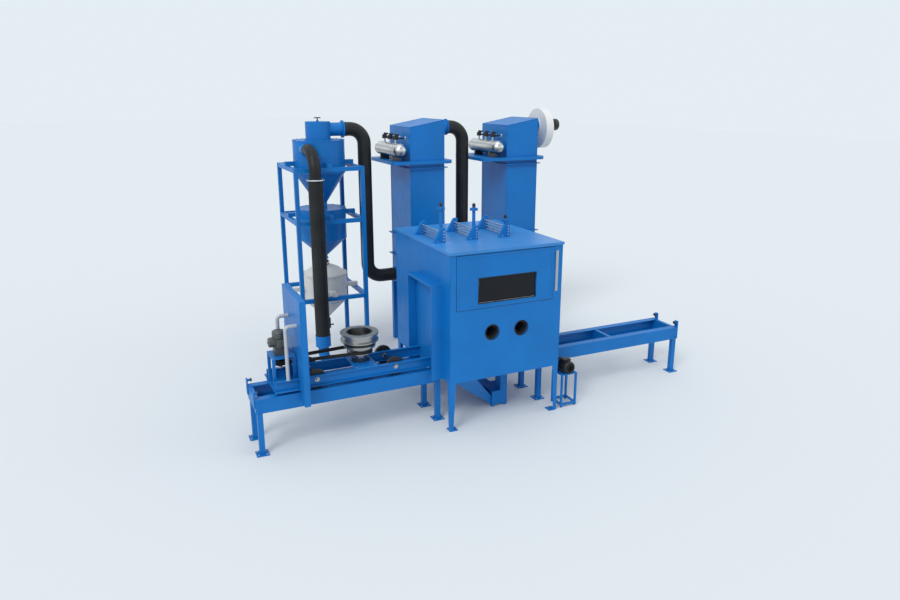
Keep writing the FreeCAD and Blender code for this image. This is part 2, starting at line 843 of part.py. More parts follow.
def handwheel():
    base = "separator_top + outlet_drum_height"
    height = f"{base} + handwheel_lift"
    stem = rod("tower_x", "back_row", f"{base} + running_gap", "stem_radius", "handwheel_lift - running_gap")
    hub = rod("tower_x", "back_row", f"{height} - handwheel_rim", "2 * stem_radius", "2 * handwheel_rim")
    rim = doc.addObject("Part::Torus", "Rim")
    bind(rim, Radius1="handwheel_radius - handwheel_rim", Radius2="handwheel_rim")
    place(rim, "tower_x", "back_row", height)
    spokes = [block("tower_x - handwheel_radius + handwheel_rim", "back_row - 4", f"{height} - 4",
                    "2 * (handwheel_radius - handwheel_rim)", 8, 8),
              block("tower_x - 4", "back_row - handwheel_radius + handwheel_rim", f"{height} - 4",
                    8, "2 * (handwheel_radius - handwheel_rim)", 8)]
    subpart("handwheel", fuse(stem, hub, rim, *spokes))


def storage_hopper():
    dome_top = "pot_rim + pot_dome"
    shell = vessel("storage_radius", "storage_top - lid_plate", "storage_bottom", "storage_outlet",
                   "storage_cone_bottom", "storage_cone_bottom - outlet_stub")
    pipe = rod("tower_x", "back_row", dome_top, "valve_radius",
               f"storage_cone_bottom - outlet_stub - ({dome_top})")
    seat = rod("tower_x", "back_row", "storage_cone_bottom - outlet_stub - lid_plate",
               "storage_outlet + valve_flange", "lid_plate")
    body = rod("tower_x", "back_row - valve_length / 2", f"({dome_top} + storage_cone_bottom - outlet_stub) / 2",
               "valve_radius * 0.8", "valve_length", ALONG_Y)
    subpart("storage_hopper", fuse(shell, pipe, seat, body, *lugs("storage_radius", "tower_middle")))
    lid = rod("tower_x", "back_row", "storage_top - lid_plate", "storage_radius + lid_overhang", "lid_plate")
    hole = rod("tower_x", "back_row", "storage_top - lid_plate", "separator_outlet - tank_plate", "lid_plate")
    subpart("storage_lid", cut(lid, hole))


def dome(radius, height):
    # the cap of a sphere that is height tall over a circle of the given radius
    ball_size = f"(({radius}) * ({radius}) + ({height}) * ({height})) / (2 * ({height}))"
    ball = doc.addObject("Part::Sphere", "Ball")
    bind(ball, Radius=ball_size)
    place(ball, "tower_x", "back_row", f"pot_rim + {height} - {ball_size}")
    core = rod("tower_x", "back_row", "pot_rim", radius, height)
    cap = doc.addObject("Part::Common", "Cap")
    cap.Base = ball
    cap.Tool = core
    return cap


def pressure_pot():
    shell = vessel("pot_radius", "pot_rim", "pot_bottom", "pot_outlet", "pot_cone_bottom",
                   "pot_cone_bottom - pot_stub")
    cover_z = "(pot_rim + pot_bottom) / 2"
    cover = rod("tower_x - pot_radius - handhole_rise", "back_row", cover_z, "handhole_radius",
                "handhole_rise + 2 * tank_plate", ALONG_X)
    subpart("pressure_pot", fuse(shell, cover, *lugs("pot_radius", "tower_low")))
    cap = cut(dome("pot_radius", "pot_dome"), dome("pot_radius - tank_plate", "pot_dome - tank_plate"))
    ring = cut(rod("tower_x", "back_row", "pot_rim", "pot_radius + 12", "pot_flange"),
               rod("tower_x", "back_row", "pot_rim", "pot_radius - tank_plate - 10", "pot_flange"))
    subpart("pot_dome", fuse(cap, ring))


COLLECTORS = ("first_collector_x", "second_collector_x")
ROW_FRONT = "back_row - collector_depth / 2"


def collector_housings():
    housings = []
    for x in COLLECTORS:
        body = new_body("Housing")
        sketch = new_sketch(body, "XZ_Plane")
        outline(sketch, [
            ("-collector_width / 2", "collector_low"), ("collector_width / 2", "collector_low"),
            ("collector_width / 2", "collector_eave + collector_rise"), ("-collector_width / 2", "collector_eave"),
        ])
        pad(body, sketch, "collector_depth", reverse=True)
        place(body, x, ROW_FRONT, 0)
        flanges = [block(f"{x} - collector_width / 2 - collector_flange", f"{ROW_FRONT} - collector_flange", z,
                         "collector_width + 2 * collector_flange", "collector_depth + 2 * collector_flange",
                         "collector_flange_plate")
                   for z in ("upper_flange_height", "middle_flange_height", "lower_flange_height")]
        housings.append(fuse(body, *flanges))
    subpart("collector_housings", group(*housings))


def dust_hoppers():
    # pyramids that hang between the tops of the legs
    inset = "(collector_leg - collector_leg_out + hopper_gap)"
    hoppers = []
    for x in COLLECTORS:
        taper = doc.addObject("Part::Wedge", "Pyramid")
        half_wide = f"collector_width / 2 - {inset}"
        half_deep = f"collector_depth / 2 - {inset}"
        bind(taper, Xmin="-dust_hopper_outlet / 2", Xmax="dust_hopper_outlet / 2",
             Zmin="-dust_hopper_outlet / 2", Zmax="dust_hopper_outlet / 2", Ymin=0,
             Ymax="collector_low - dust_hopper_bottom", X2min=f"-({half_wide})", X2max=half_wide,
             Z2min=f"-({half_deep})", Z2max=half_deep)
        place(taper, x, "back_row", "dust_hopper_bottom", Rotation(Vector(1, 0, 0), 90))
        outlet = block(f"{x} - dust_hopper_outlet / 2 - 30", "back_row - dust_hopper_outlet / 2 - 30",
                       "dust_hopper_bottom - 14", "dust_hopper_outlet + 60", "dust_hopper_outlet + 60", 14)
        hoppers.append(fuse(taper, outlet))
    subpart("dust_hoppers", group(*hoppers))


def collector_legs():
    legs = []
    for x in COLLECTORS:
        for x_side in (-1, 1):
            for y_side in (-1, 1):
                reach_x = f"({x_side} * (collector_width / 2 + collector_leg_out - collector_leg / 2))"
                reach_y = f"({y_side} * (collector_depth / 2 + collector_leg_out - collector_leg / 2))"
                legs.append(block(f"{x} + {reach_x} - collector_leg / 2", f"back_row + {reach_y} - collector_leg / 2",
                                  0, "collector_leg", "collector_leg", "collector_low"))
    subpart("collector_legs", group(*legs))


def rounded_rectangle(sketch, left, low, right, high, radius):
    # four straight edges joined by tangent quarter circles, its corners' centres pinned
    centres = [(f"{left} + {radius}", f"{low} + {radius}"), (f"{right} - {radius}", f"{low} + {radius}"),
               (f"{right} - {radius}", f"{high} - {radius}"), (f"{left} + {radius}", f"{high} - {radius}")]
    size = number(radius)
    arcs = []
    for turn, (x, y) in enumerate(centres):
        middle = Vector(number(x), number(y), 0)
        start = math.pi + turn * math.pi / 2
        round_corner = Part.Circle(middle, Vector(0, 0, 1), size)
        arc = sketch.addGeometry(Part.ArcOfCircle(round_corner, start, start + math.pi / 2), False)
        hold(sketch, arc, 3, x, y)
        limit = sketch.addConstraint(Sketcher.Constraint("Radius", arc, size))
        sketch.setExpression(f"Constraints[{limit}]", linked(radius))
        arcs.append(arc)
    for turn in range(4):
        arc = arcs[turn]
        following = arcs[(turn + 1) % 4]
        edge = Part.LineSegment(sketch.getPoint(arc, 2), sketch.getPoint(following, 1))
        line = sketch.addGeometry(edge, False)
        sketch.addConstraint(Sketcher.Constraint("Tangent", line, 1, arc, 2))
        sketch.addConstraint(Sketcher.Constraint("Tangent", line, 2, following, 1))


def collector_platforms():
    # a walkway round each housing, its outer corners rounded
    platforms = []
    for x, reach in zip(COLLECTORS, ("first_platform_left", "second_platform_left")):
        body = new_body("Platform")
        sketch = new_sketch(body, "XY_Plane")
        rounded_rectangle(sketch, f"-collector_width / 2 - {reach}", "-collector_depth / 2 - platform_front",
                          "collector_width / 2 + platform_right", "collector_depth / 2 + platform_back",
                          "platform_corner")
        outline(sketch, rectangle("-collector_width / 2", "-collector_depth / 2", "collector_width / 2",
                                  "collector_depth / 2"))
        pad(body, sketch, "platform_plate")
        platforms.append(place(body, x, "back_row", "platform_height"))
    subpart("collector_platforms", group(*platforms))


TANK_AXIS = "platform_height + platform_plate + air_tank_rise"
TANK_TOP = f"{TANK_AXIS} + air_tank_radius"


def capsule(x, radius, length):
    straight = f"{length} - 2 * ({radius})"
    start = f"back_row - ({straight}) / 2"
    pieces = [rod(x, start, TANK_AXIS, radius, straight, ALONG_Y)]
    for y in (start, f"back_row + ({straight}) / 2"):
        ball = doc.addObject("Part::Sphere", "End")
        bind(ball, Radius=radius)
        pieces.append(place(ball, x, y, TANK_AXIS))
    return fuse(*pieces)


def air_tanks():
    tanks = []
    valves = []
    for collector in COLLECTORS:
        face = f"{collector} - collector_width / 2"
        x = f"{face} - air_tank_gap - air_tank_radius"
        shell = capsule(x, "air_tank_radius", "air_tank_length")
        saddles = [block(f"{x} - air_tank_radius * 0.7", f"back_row + {y} - saddle_width / 2",
                         "platform_height + platform_plate", "air_tank_radius * 1.4", "saddle_width",
                         "air_tank_rise")
                   for y in ("(-saddle_reach)", "saddle_reach")]
        hollow = capsule(x, "air_tank_radius - air_tank_wall", "air_tank_length - 2 * air_tank_wall")
        tanks.append(cut(fuse(shell, *saddles), hollow))
        for step in (-1, 0, 1):
            y = f"back_row + {step} * valve_spacing"
            stem = rod(x, y, TANK_TOP, "valve_stem", "valve_rise")
            head = rod(x, y, f"{TANK_TOP} + valve_rise - valve_body", "valve_body", "valve_body * 1.5")
            blow = rod(x, y, f"{TANK_TOP} + valve_rise - valve_body / 2", "valve_stem", f"{face} - ({x})",
                       ALONG_X)
            valves.append(fuse(stem, head, blow))
    subpart("air_tanks", group(*tanks))
    subpart("pulse_valves", group(*valves))


def collar(x, z, length, outer_end):
    pipe = rod(x, "back_row", z, "collar_radius - 12", length, ALONG_X)
    wall_ring = x if outer_end > 0 else f"{x} + {length} - collar_plate"
    end_ring = f"{x} + {length} - collar_plate" if outer_end > 0 else x
    rings = [rod(place_x, "back_row", z, "collar_radius + 12", "collar_plate", ALONG_X)
             for place_x in (wall_ring, end_ring)]
    return fuse(pipe, *rings)


def duct_collars():
    collars = [collar(f"{x} - collector_width / 2 - collar_length", "collar_height", "collar_length", -1)
               for x in COLLECTORS]
    collars.append(collar("first_collector_x + collector_width / 2", "outlet_height", "outlet_collar_length", 1))
    fan_side = "second_collector_x + collector_width / 2"
    pipe = rod(fan_side, "back_row", FAN_AXIS, "fan_collar_radius", "fan_collar_length - collar_plate", ALONG_X)
    ring = rod(f"{fan_side} + fan_collar_length - 2 * collar_plate", "back_row", FAN_AXIS,
               "fan_collar_radius + collar_plate", "collar_plate", ALONG_X)
    collars.append(fuse(pipe, ring))
    subpart("duct_collars", group(*collars))


def fan():
    # the scroll is wider below its shaft, and blows out at the back
    start = "second_collector_x + collector_width / 2"
    casing = f"{start} + fan_collar_length"
    scroll_axis = f"{FAN_AXIS} - fan_drop"
    scroll = rod(casing, "back_row", scroll_axis, "fan_radius", "fan_width", ALONG_X)
    inlet = rod(f"{casing} - collar_plate", "back_row", FAN_AXIS, "fan_collar_radius + collar_plate", "collar_plate",
                ALONG_X)
    outlet = block(casing, "back_row", f"{scroll_axis} - fan_radius", "fan_width", "fan_radius + 60",
                   "fan_outlet")
    subpart("fan_housing", fuse(inlet, scroll, outlet))
    subpart("fan_motor", rod(f"{casing} + fan_width", "back_row", FAN_AXIS, "fan_motor_radius",
                             "fan_motor_length", ALONG_X))


def hoses():
    outlet = "tower_x + outlet_duct_reach"
    subpart("tower_hose", tube_run("TowerHose", [
        (outlet, "back_row", TOWER_OUTLET), ("tower_hose_x", "back_row", TOWER_OUTLET),
        ("tower_hose_x", "back_row", "collar_height"),
        ("first_collector_x - collector_width / 2 - collar_length", "back_row", "collar_height"),
    ], "hose_bend", "hose_radius"))
    subpart("collector_hose", tube_run("CollectorHose", [
        ("first_collector_x + collector_width / 2 + outlet_collar_length", "back_row", "outlet_height"),
        ("second_hose_x", "back_row", "outlet_height"), ("second_hose_x", "back_row", "collar_height"),
        ("second_collector_x - collector_width / 2 - collar_length", "back_row", "collar_height"),
    ], "hose_bend", "hose_radius"))
    elbow = tube_run("SupplyElbow", [
        (SUPPLY_X, "back_row + inlet_face", "inlet_height"), (SUPPLY_X, "supply_hose_y", "inlet_height"),
        (SUPPLY_X, "supply_hose_y", "supply_joint_height"),
    ], "hose_bend * 1.35", "supply_elbow_radius")
    drop = rod(SUPPLY_X, "supply_hose_y", "supply_hose_bottom", "supply_hose_radius",
               "supply_joint_height - supply_hose_bottom")
    ring = rod(SUPPLY_X, "supply_hose_y", "supply_joint_height", "supply_hose_radius + supply_ring_lip",
               "supply_ring_plate")
    subpart("supply_hose", fuse(elbow, drop, ring))


def gun_lifts():
    brackets = []
    rods = []
    tubes = []
    for step in range(3):
        x = f"gun_first + {step} * gun_pitch"
        for y in ("gun_front", "gun_back"):
            body = new_body("Bracket")
            sketch = new_sketch(body, "XZ_Plane")
            outline(sketch, [("0", "0"), ("bracket_width", "0"), ("bracket_width", "bracket_height"),
                             ("bracket_width - bracket_strip", "bracket_height")])
            pad(body, sketch, "bracket_plate", reverse=True)
            brackets.append(place(body, x, y, "cabinet_top"))
        for level in range(4):
            z = f"cabinet_top + rod_lift + {level} * rod_pitch"
            rods.append(rod(f"{x} + rod_offset", "gun_front + bracket_plate", z, "rod_radius",
                            "gun_back - gun_front - bracket_plate", ALONG_Y))
        tube_x = f"{x} + bracket_width - bracket_strip / 2"
        tube_y = "gun_front + bracket_plate + gun_tube_gap + gun_tube_radius"
        tall = ("first_tube_height", "second_tube_height", "third_tube_height")[step]
        tube = rod(tube_x, tube_y, "cabinet_top", "gun_tube_radius", tall)
        cap = rod(tube_x, tube_y, f"cabinet_top + {tall} - 40", "gun_cap_radius", "gun_cap_plate")
        knob = rod(tube_x, tube_y, f"cabinet_top + {tall}", "gun_knob_radius * 0.6", "gun_knob_radius * 2")
        tubes.append(fuse(tube, cap, knob))
    subpart("gun_brackets", group(*brackets))
    subpart("gun_rods", group(*rods))
    subpart("gun_tubes", group(*tubes))


def drive_stand():
    top = block(STAND_LEFT, STAND_FRONT, "stand_height - stand_plate", "stand_width", "stand_depth",
                "stand_plate")
    legs = [block(f"{STAND_LEFT} + {x}", f"{STAND_FRONT} + {y}", 0, "stand_leg", "stand_leg",
                  "stand_height - stand_plate")
            for x in (0, "stand_width - stand_leg") for y in (0, "stand_depth - stand_leg")]
    bars = [block(STAND_LEFT, f"{STAND_FRONT} + {y}", "stand_bar_height", "stand_width", "stand_leg", "stand_leg")
            for y in (0, "stand_depth - stand_leg")]
    bars += [block(f"{STAND_LEFT} + {x}", STAND_FRONT, "stand_bar_height", "stand_leg", "stand_depth", "stand_leg")
             for x in (0, "stand_width - stand_leg")]
    subpart("drive_stand", fuse(top, *legs, *bars))
    x = f"{STAND_LEFT} + stand_width / 2"
    axis_height = "stand_height + stand_motor_radius + stand_motor_lift"
    start = f"{STAND_FRONT} + (stand_depth - stand_motor_length) / 2"
    shell = rod(x, start, axis_height, "stand_motor_radius", "stand_motor_length", ALONG_Y)
    foot = block(f"{x} - stand_motor_radius", f"{STAND_FRONT} + stand_motor_foot", "stand_height",
                 "2 * stand_motor_radius", "stand_depth - 2 * stand_motor_foot", "stand_motor_radius")
    subpart("stand_motor", fuse(shell, foot))


CART_BACK = RAIL_BACK
WHEEL_HEIGHT = "rail_top + wheel_radius + running_gap"
AXLES = (("left", "left_axle"), ("right", "right_axle"))


def cart_beams():
    # two channels open towards the operator, with the axles through their webs
    length = "cart_right - cart_left"
    beams = []
    for y in ("rail_front", CART_BACK):
        web = f"{y} + cart_flange"
        beam = channel("cart_left", length, web, -1, "cart_bottom", "cart_top", "cart_flange", "cart_plate")
        holes = [rod(x, f"{web} - cart_plate", WHEEL_HEIGHT, "axle_radius + running_gap", "cart_plate", ALONG_Y)
                 for _, x in AXLES]
        beams.append(cut(beam, *holes))
    subpart("cart_beams", group(*beams))


def wheelsets():
    for side, x in AXLES:
        pieces = [rod(x, "rail_front + cart_flange - cart_plate - nut_length", WHEEL_HEIGHT, "axle_radius",
                      "rail_gauge + cart_plate + 2 * nut_length + wheel_width + wheel_gap", ALONG_Y)]
        for y in ("rail_front", CART_BACK):
            tread = f"{y} + cart_flange + wheel_gap"
            pieces.append(rod(x, tread, WHEEL_HEIGHT, "wheel_radius", "wheel_width", ALONG_Y))
            face = f"{y} + cart_flange - cart_plate - running_gap"
            pieces.append(rod(x, f"{face} - nut_length", WHEEL_HEIGHT, "nut_radius", "nut_length", ALONG_Y))
        subpart(f"{side}_wheelset", fuse(*pieces))


def cart_deck():
    plate_length = "closing_panel_left - cart_left"
    deck = block("cart_left", "rail_front", "cart_bottom - deck_plate", plate_length, "deck_back - rail_front",
                 "deck_plate")
    middle = RAIL_MIDDLE
    table_x = "closing_panel_left - motor_table_length - 10"
    table_y = f"{middle} - motor_table_depth / 2"
    top = block(table_x, table_y, "motor_table_height - motor_table_plate", "motor_table_length",
                "motor_table_depth", "motor_table_plate")
    legs = [block(f"{table_x} + {x}", f"{table_y} + {y}", "cart_bottom", "motor_table_leg", "motor_table_leg",
                  "motor_table_height - motor_table_plate - cart_bottom")
            for x in (0, "motor_table_length - motor_table_leg")
            for y in (0, "motor_table_depth - motor_table_leg")]
    hole = rod("drive_x", middle, "motor_table_height - motor_table_plate", "shaft_radius + 3",
               "motor_table_plate")
    subpart("cart_deck", cut(fuse(deck, top, *legs), hole))


def closing_panel():
    # the big end door: notched over the rails, with windows for the beams and a slot for the belt
    body = new_body("Panel")
    sketch = new_sketch(body, "YZ_Plane")
    notch_front = "rail_front - notch_gap"
    notch_back = f"{RAIL_BACK} + rail_width + notch_gap"
    notch_top = "rail_top + notch_gap"
    outline(sketch, [
        ("closing_panel_front", "closing_panel_bottom"), (notch_front, "closing_panel_bottom"),
        (notch_front, notch_top), (notch_back, notch_top), (notch_back, "closing_panel_bottom"),
        ("closing_panel_back", "closing_panel_bottom"), ("closing_panel_back", "closing_panel_top"),
        ("closing_panel_front", "closing_panel_top"),
    ])
    for y in ("rail_front", CART_BACK):
        outline(sketch, rectangle(y, "cart_bottom", f"{y} + cart_flange", "cart_top"))
    reach = "(3 * drive_pulley_radius + table_pulley_radius) / 4 + belt_thickness + belt_slot_gap"
    outline(sketch, rectangle(f"{RAIL_MIDDLE} - ({reach})", "belt_height - belt_slot_gap",
                              f"{RAIL_MIDDLE} + {reach}", "belt_height + belt_width + belt_slot_gap"))
    pad(body, sketch, "closing_panel")
    place(body, "closing_panel_left", 0, 0)
    subpart("closing_panel", body)


def inner_panel():
    low = "rail_top + inner_panel_lift"
    subpart("inner_panel", block("cart_right", "doorway_front + inner_panel_gap", low, "inner_panel",
                                 "doorway_back - doorway_front - 2 * inner_panel_gap",
                                 f"doorway_top - inner_panel_gap - ({low})"))


def drive_unit():
    x = "drive_x"
    base = "motor_table_height"
    gearbox = block(f"{x} - gearbox / 2", f"{RAIL_MIDDLE} - gearbox / 2", base, "gearbox", "gearbox",
                    "gearbox_height")
    shoulder = f"{base} + drive_motor_height - drive_motor_shoulder"
    motor = rod(x, RAIL_MIDDLE, f"{base} + gearbox_height", "drive_motor_radius",
                "drive_motor_height - gearbox_height - drive_motor_shoulder")
    cap = cone(x, RAIL_MIDDLE, shoulder, "drive_motor_radius", "drive_motor_radius - drive_motor_shoulder",
               "drive_motor_shoulder")
    side = rod(f"{x} - gearbox / 2 - side_cover", RAIL_MIDDLE, f"{base} + side_cover_height", "side_cover_radius",
               "side_cover + gearbox / 2", ALONG_X)
    socket = rod(x, RAIL_MIDDLE, base, "shaft_radius + running_gap", "shaft_seat")
    subpart("gear_motor", cut(fuse(gearbox, motor, cap, side), socket))
    low = "belt_height - belt_side_gap - pulley_flange_plate"
    shaft = rod(x, RAIL_MIDDLE, low, "shaft_radius", f"{base} + shaft_seat - running_gap - ({low})")
    rim = rod(x, RAIL_MIDDLE, low, "drive_pulley_radius", "belt_width + 2 * belt_side_gap + 2 * pulley_flange_plate")
    flanges = [rod(x, RAIL_MIDDLE, z, "drive_pulley_radius + pulley_flange", "pulley_flange_plate")
               for z in (low, "belt_height + belt_width + belt_side_gap")]
    subpart("drive_pulley", fuse(shaft, rim, *flanges))


def drive_belt():
    # one loop round the two pulleys, its straight runs tangent to both
    body = new_body("Belt")
    sketch = new_sketch(body, "XY_Plane")
    span = number("turntable_x - drive_x")
    for skin in ("running_gap", "running_gap + belt_thickness"):
        small = number(f"drive_pulley_radius + {skin}")
        large = number(f"table_pulley_radius + {skin}")
        lean = math.acos((large - small) / span)
        up = Vector(0, 0, 1)
        circles = (Part.Circle(Vector(0, 0, 0), up, small), Part.Circle(Vector(span, 0, 0), up, large))
        touch = math.pi - lean
        tail = sketch.addGeometry(Part.ArcOfCircle(circles[0], touch, 2 * math.pi - touch), False)
        nose = sketch.addGeometry(Part.ArcOfCircle(circles[1], -touch, touch), False)
        heading = Vector(math.cos(touch), math.sin(touch), 0)
        mirrored = Vector(heading.x, -heading.y, 0)
        far = Vector(span, 0, 0)
        upper = sketch.addGeometry(Part.LineSegment(heading * small, far + heading * large), False)
        lower = sketch.addGeometry(Part.LineSegment(mirrored * small, far + mirrored * large), False)
        for line, line_end, arc, arc_end in ((upper, 1, tail, 1), (upper, 2, nose, 2), (lower, 1, tail, 2),
                                             (lower, 2, nose, 1)):
            sketch.addConstraint(Sketcher.Constraint("Tangent", line, line_end, arc, arc_end))
        hold(sketch, tail, 3, "0", "0")
        hold(sketch, nose, 3, "turntable_x - drive_x", "0")
        for arc, base in ((tail, "drive_pulley_radius"), (nose, "table_pulley_radius")):
            limit = sketch.addConstraint(Sketcher.Constraint("Radius", arc, number(f"{base} + {skin}")))
            sketch.setExpression(f"Constraints[{limit}]", linked(f"{base} + {skin}"))
    pad(body, sketch, "belt_width")
    place(body, "drive_x", RAIL_MIDDLE, "belt_height")
    subpart("drive_belt", body)


def turntable():
    plate = block("turntable_x - turntable_plate_length / 2", "rail_front", "cart_top", "turntable_plate_length",
                  "rail_gauge + cart_flange", "turntable_plate")
    base = "cart_top + turntable_plate"
    bearing = rod("turntable_x", RAIL_MIDDLE, base, "bearing_radius", "bearing_height")
    pin = rod("turntable_x", RAIL_MIDDLE, base, "pivot_radius", "bearing_height + pin_rise")
    subpart("turntable_plate", fuse(plate, bearing, pin))
    low = f"{base} + bearing_height + running_gap"
    groove_low = "belt_height - belt_side_gap"
    groove_high = "belt_height + belt_width + belt_side_gap"
    rim = "table_pulley_radius + pulley_flange"
    bore = "pivot_radius + running_gap"
    subpart("turntable_pulley", turned("Pulley", [
        (bore, low), ("80", low), ("80", f"{groove_low} - pulley_flange_plate"),
        (rim, f"{groove_low} - pulley_flange_plate"), (rim, groove_low), ("table_pulley_radius", groove_low),
        ("table_pulley_radius", groove_high), (rim, groove_high), (rim, "drum_bottom"), ("0", "drum_bottom"),
        ("0", f"{base} + bearing_height + pin_rise + running_gap"), (bore, f"{base} + bearing_height + pin_rise + running_gap"),
    ], "turntable_x", RAIL_MIDDLE))
    drum = turned("Drum", [
        ("0", "drum_bottom"), ("drum_foot - drum_chamfer", "drum_bottom"),
        ("drum_foot", "drum_bottom + drum_chamfer"), ("drum_foot", "drum_bottom + drum_foot_height"),
        ("drum_neck", "drum_bottom + drum_foot_height + 4"), ("drum_neck", "drum_waist_top"),
        ("drum_body", "drum_waist_top"), ("drum_radius", "drum_waist_top + drum_chamfer"),
        ("drum_radius", "drum_waist_top + drum_rim"), ("drum_body", "drum_waist_top + drum_rim + drum_chamfer"),
        ("drum_body", "drum_top - drum_rim - drum_chamfer"), ("drum_radius", "drum_top - drum_rim"),
        ("drum_radius", "drum_top"), ("bowl_radius", "drum_top"), ("bowl_radius - 14", "drum_top - bowl_depth"),
        ("0", "drum_top - bowl_depth"),
    ], "turntable_x", RAIL_MIDDLE)
    holes = []
    for step in range(5):
        turn = f"{step} * 72"
        holes.append(rod(f"turntable_x + bowl_hole_circle * cos({turn})",
                         f"{RAIL_MIDDLE} + bowl_hole_circle * sin({turn})", "drum_top - bowl_depth - bowl_hole_depth",
                         "bowl_hole", "bowl_depth + bowl_hole_depth"))
    subpart("turntable_drum", cut(drum, *holes))


def push_handles():
    handles = []
    for y in ("rail_front + cart_flange / 2", f"{CART_BACK} + cart_flange / 2"):
        handles.append(tube_run("Handle", [
            ("handle_x", y, "cart_top"), ("handle_x", y, "handle_top"), ("closing_panel_left", y, "handle_top"),
        ], "handle_bend", "handle_radius"))
    subpart("push_handles", group(*handles))


def check_and_write():
    doc.recompute()
    for thing in doc.Objects:
        if {"Invalid", "Error"} & set(thing.State):
            raise SystemExit(f"{thing.Name} ({thing.Label}) failed to build")
    os.makedirs("parts", exist_ok=True)
    for thing in SUBPARTS:
        shape = thing.Shape
        if shape.isNull() or not shape.isValid() or not shape.Solids:
            raise SystemExit(f"{thing.Label} has no valid solid")
        shape.exportStep(f"parts/{thing.Label}.step")


fill_sheet()
cabinet_walls()
cabinet_floor()
window_pane()
arm_sleeves()
doorway_hood()
cabinet_legs()
rail_tables()
table_legs()
rail_stops()
media_chute()
return_pipe()
tower_frame()
separator()
handwheel()
storage_hopper()
pressure_pot()
collector_housings()
dust_hoppers()
collector_legs()
collector_platforms()
air_tanks()
duct_collars()
fan()
hoses()
gun_lifts()
drive_stand()
cart_beams()
wheelsets()
cart_deck()
closing_panel()
inner_panel()
drive_unit()
drive_belt()
turntable()
push_handles()
check_and_write()
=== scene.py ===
import json
import math
import bmesh
import bpy
from mathutils import Matrix, Vector


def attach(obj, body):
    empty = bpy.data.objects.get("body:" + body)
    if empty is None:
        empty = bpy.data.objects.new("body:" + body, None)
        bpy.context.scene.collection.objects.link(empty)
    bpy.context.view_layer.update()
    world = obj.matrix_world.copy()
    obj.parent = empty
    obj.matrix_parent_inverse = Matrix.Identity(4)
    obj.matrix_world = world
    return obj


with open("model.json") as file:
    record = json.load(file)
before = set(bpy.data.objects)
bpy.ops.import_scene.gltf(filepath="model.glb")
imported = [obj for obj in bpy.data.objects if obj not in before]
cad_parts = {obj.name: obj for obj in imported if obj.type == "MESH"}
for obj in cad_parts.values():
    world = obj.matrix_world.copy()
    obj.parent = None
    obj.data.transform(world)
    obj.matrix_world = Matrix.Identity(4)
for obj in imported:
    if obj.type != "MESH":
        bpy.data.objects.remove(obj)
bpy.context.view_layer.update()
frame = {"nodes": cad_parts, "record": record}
NODES = frame["nodes"]


def joint_place(name):
    return next(row["pos_m"] for row in frame["record"]["behaviour"]["joints"] if row["name"] == name)


# Places that the record gives in its joints. Lengths are in metres
TABLE_X, TABLE_Y, _ = joint_place("turntable_spin")
DRIVE_X, DRIVE_Y, _ = joint_place("drive_spin")
TOWER_X, ROW, _ = joint_place("handwheel_spin")
AXLE_Z = joint_place("left_wheel_spin")[2]

# Places and sizes taken over from the CAD model
OUTLET_Z, INLET_Z = 3.655, 1.28
TANK_Z, TANK_RADIUS = 3.328, 0.105
RAIL_FRONT, RAIL_BACK = -0.51, 0.04
BEAM_FRONTS = (-0.51, -0.06)
BEAM_MIDDLES = (-0.4875, -0.0375)
CART_FLANGE, CART_PLATE, RUNNING_GAP = 0.045, 0.007, 0.0003


# Materials
COAT_ROUGHNESS = 0.25


def shader(name, colour, roughness, metallic=0.0, specular=0.5, coat=0.0):
    material = bpy.data.materials.new(name)
    material.use_nodes = True
    tree = material.node_tree
    bsdf = tree.nodes["Principled BSDF"]
    bsdf.inputs["Base Color"].default_value = (*colour, 1)
    bsdf.inputs["Roughness"].default_value = roughness
    bsdf.inputs["Metallic"].default_value = metallic
    bsdf.inputs["Specular IOR Level"].default_value = specular
    bsdf.inputs["Coat Weight"].default_value = coat
    bsdf.inputs["Coat Roughness"].default_value = COAT_ROUGHNESS
    return material, tree, bsdf


def own_place(tree):
    # a point's place on the object itself, so that a pattern moves with its piece
    return tree.nodes.new("ShaderNodeTexCoord").outputs["Object"]


def height_of(tree, place):
    node = tree.nodes.new("ShaderNodeSeparateXYZ")
    tree.links.new(place, node.inputs["Vector"])
    return node.outputs["Z"]


def noise(tree, scale, detail=3.0, stretch=(1, 1, 1)):
    mapping = tree.nodes.new("ShaderNodeMapping")
    mapping.inputs["Scale"].default_value = stretch
    texture = tree.nodes.new("ShaderNodeTexNoise")
    texture.inputs["Scale"].default_value = scale
    texture.inputs["Detail"].default_value = detail
    tree.links.new(own_place(tree), mapping.inputs["Vector"])
    tree.links.new(mapping.outputs["Vector"], texture.inputs["Vector"])
    return texture.outputs["Fac"]


def ramp(tree, source, low, high, start=0.35, end=0.65):
    node = tree.nodes.new("ShaderNodeValToRGB")
    node.color_ramp.elements[0].position = start
    node.color_ramp.elements[0].color = (*low, 1)
    node.color_ramp.elements[1].position = end
    node.color_ramp.elements[1].color = (*high, 1)
    tree.links.new(source, node.inputs["Fac"])
    return node.outputs["Color"]


def spread(tree, source, low, high):
    node = tree.nodes.new("ShaderNodeMapRange")
    node.inputs["From Min"].default_value = 0.3
    node.inputs["From Max"].default_value = 0.7
    node.inputs["To Min"].default_value = low
    node.inputs["To Max"].default_value = high
    tree.links.new(source, node.inputs["Value"])
    return node.outputs["Result"]


def bump(tree, bsdf, source, strength, distance):
    node = tree.nodes.new("ShaderNodeBump")
    node.inputs["Strength"].default_value = strength
    node.inputs["Distance"].default_value = distance
    tree.links.new(source, node.inputs["Height"])
    tree.links.new(node.outputs["Normal"], bsdf.inputs["Normal"])


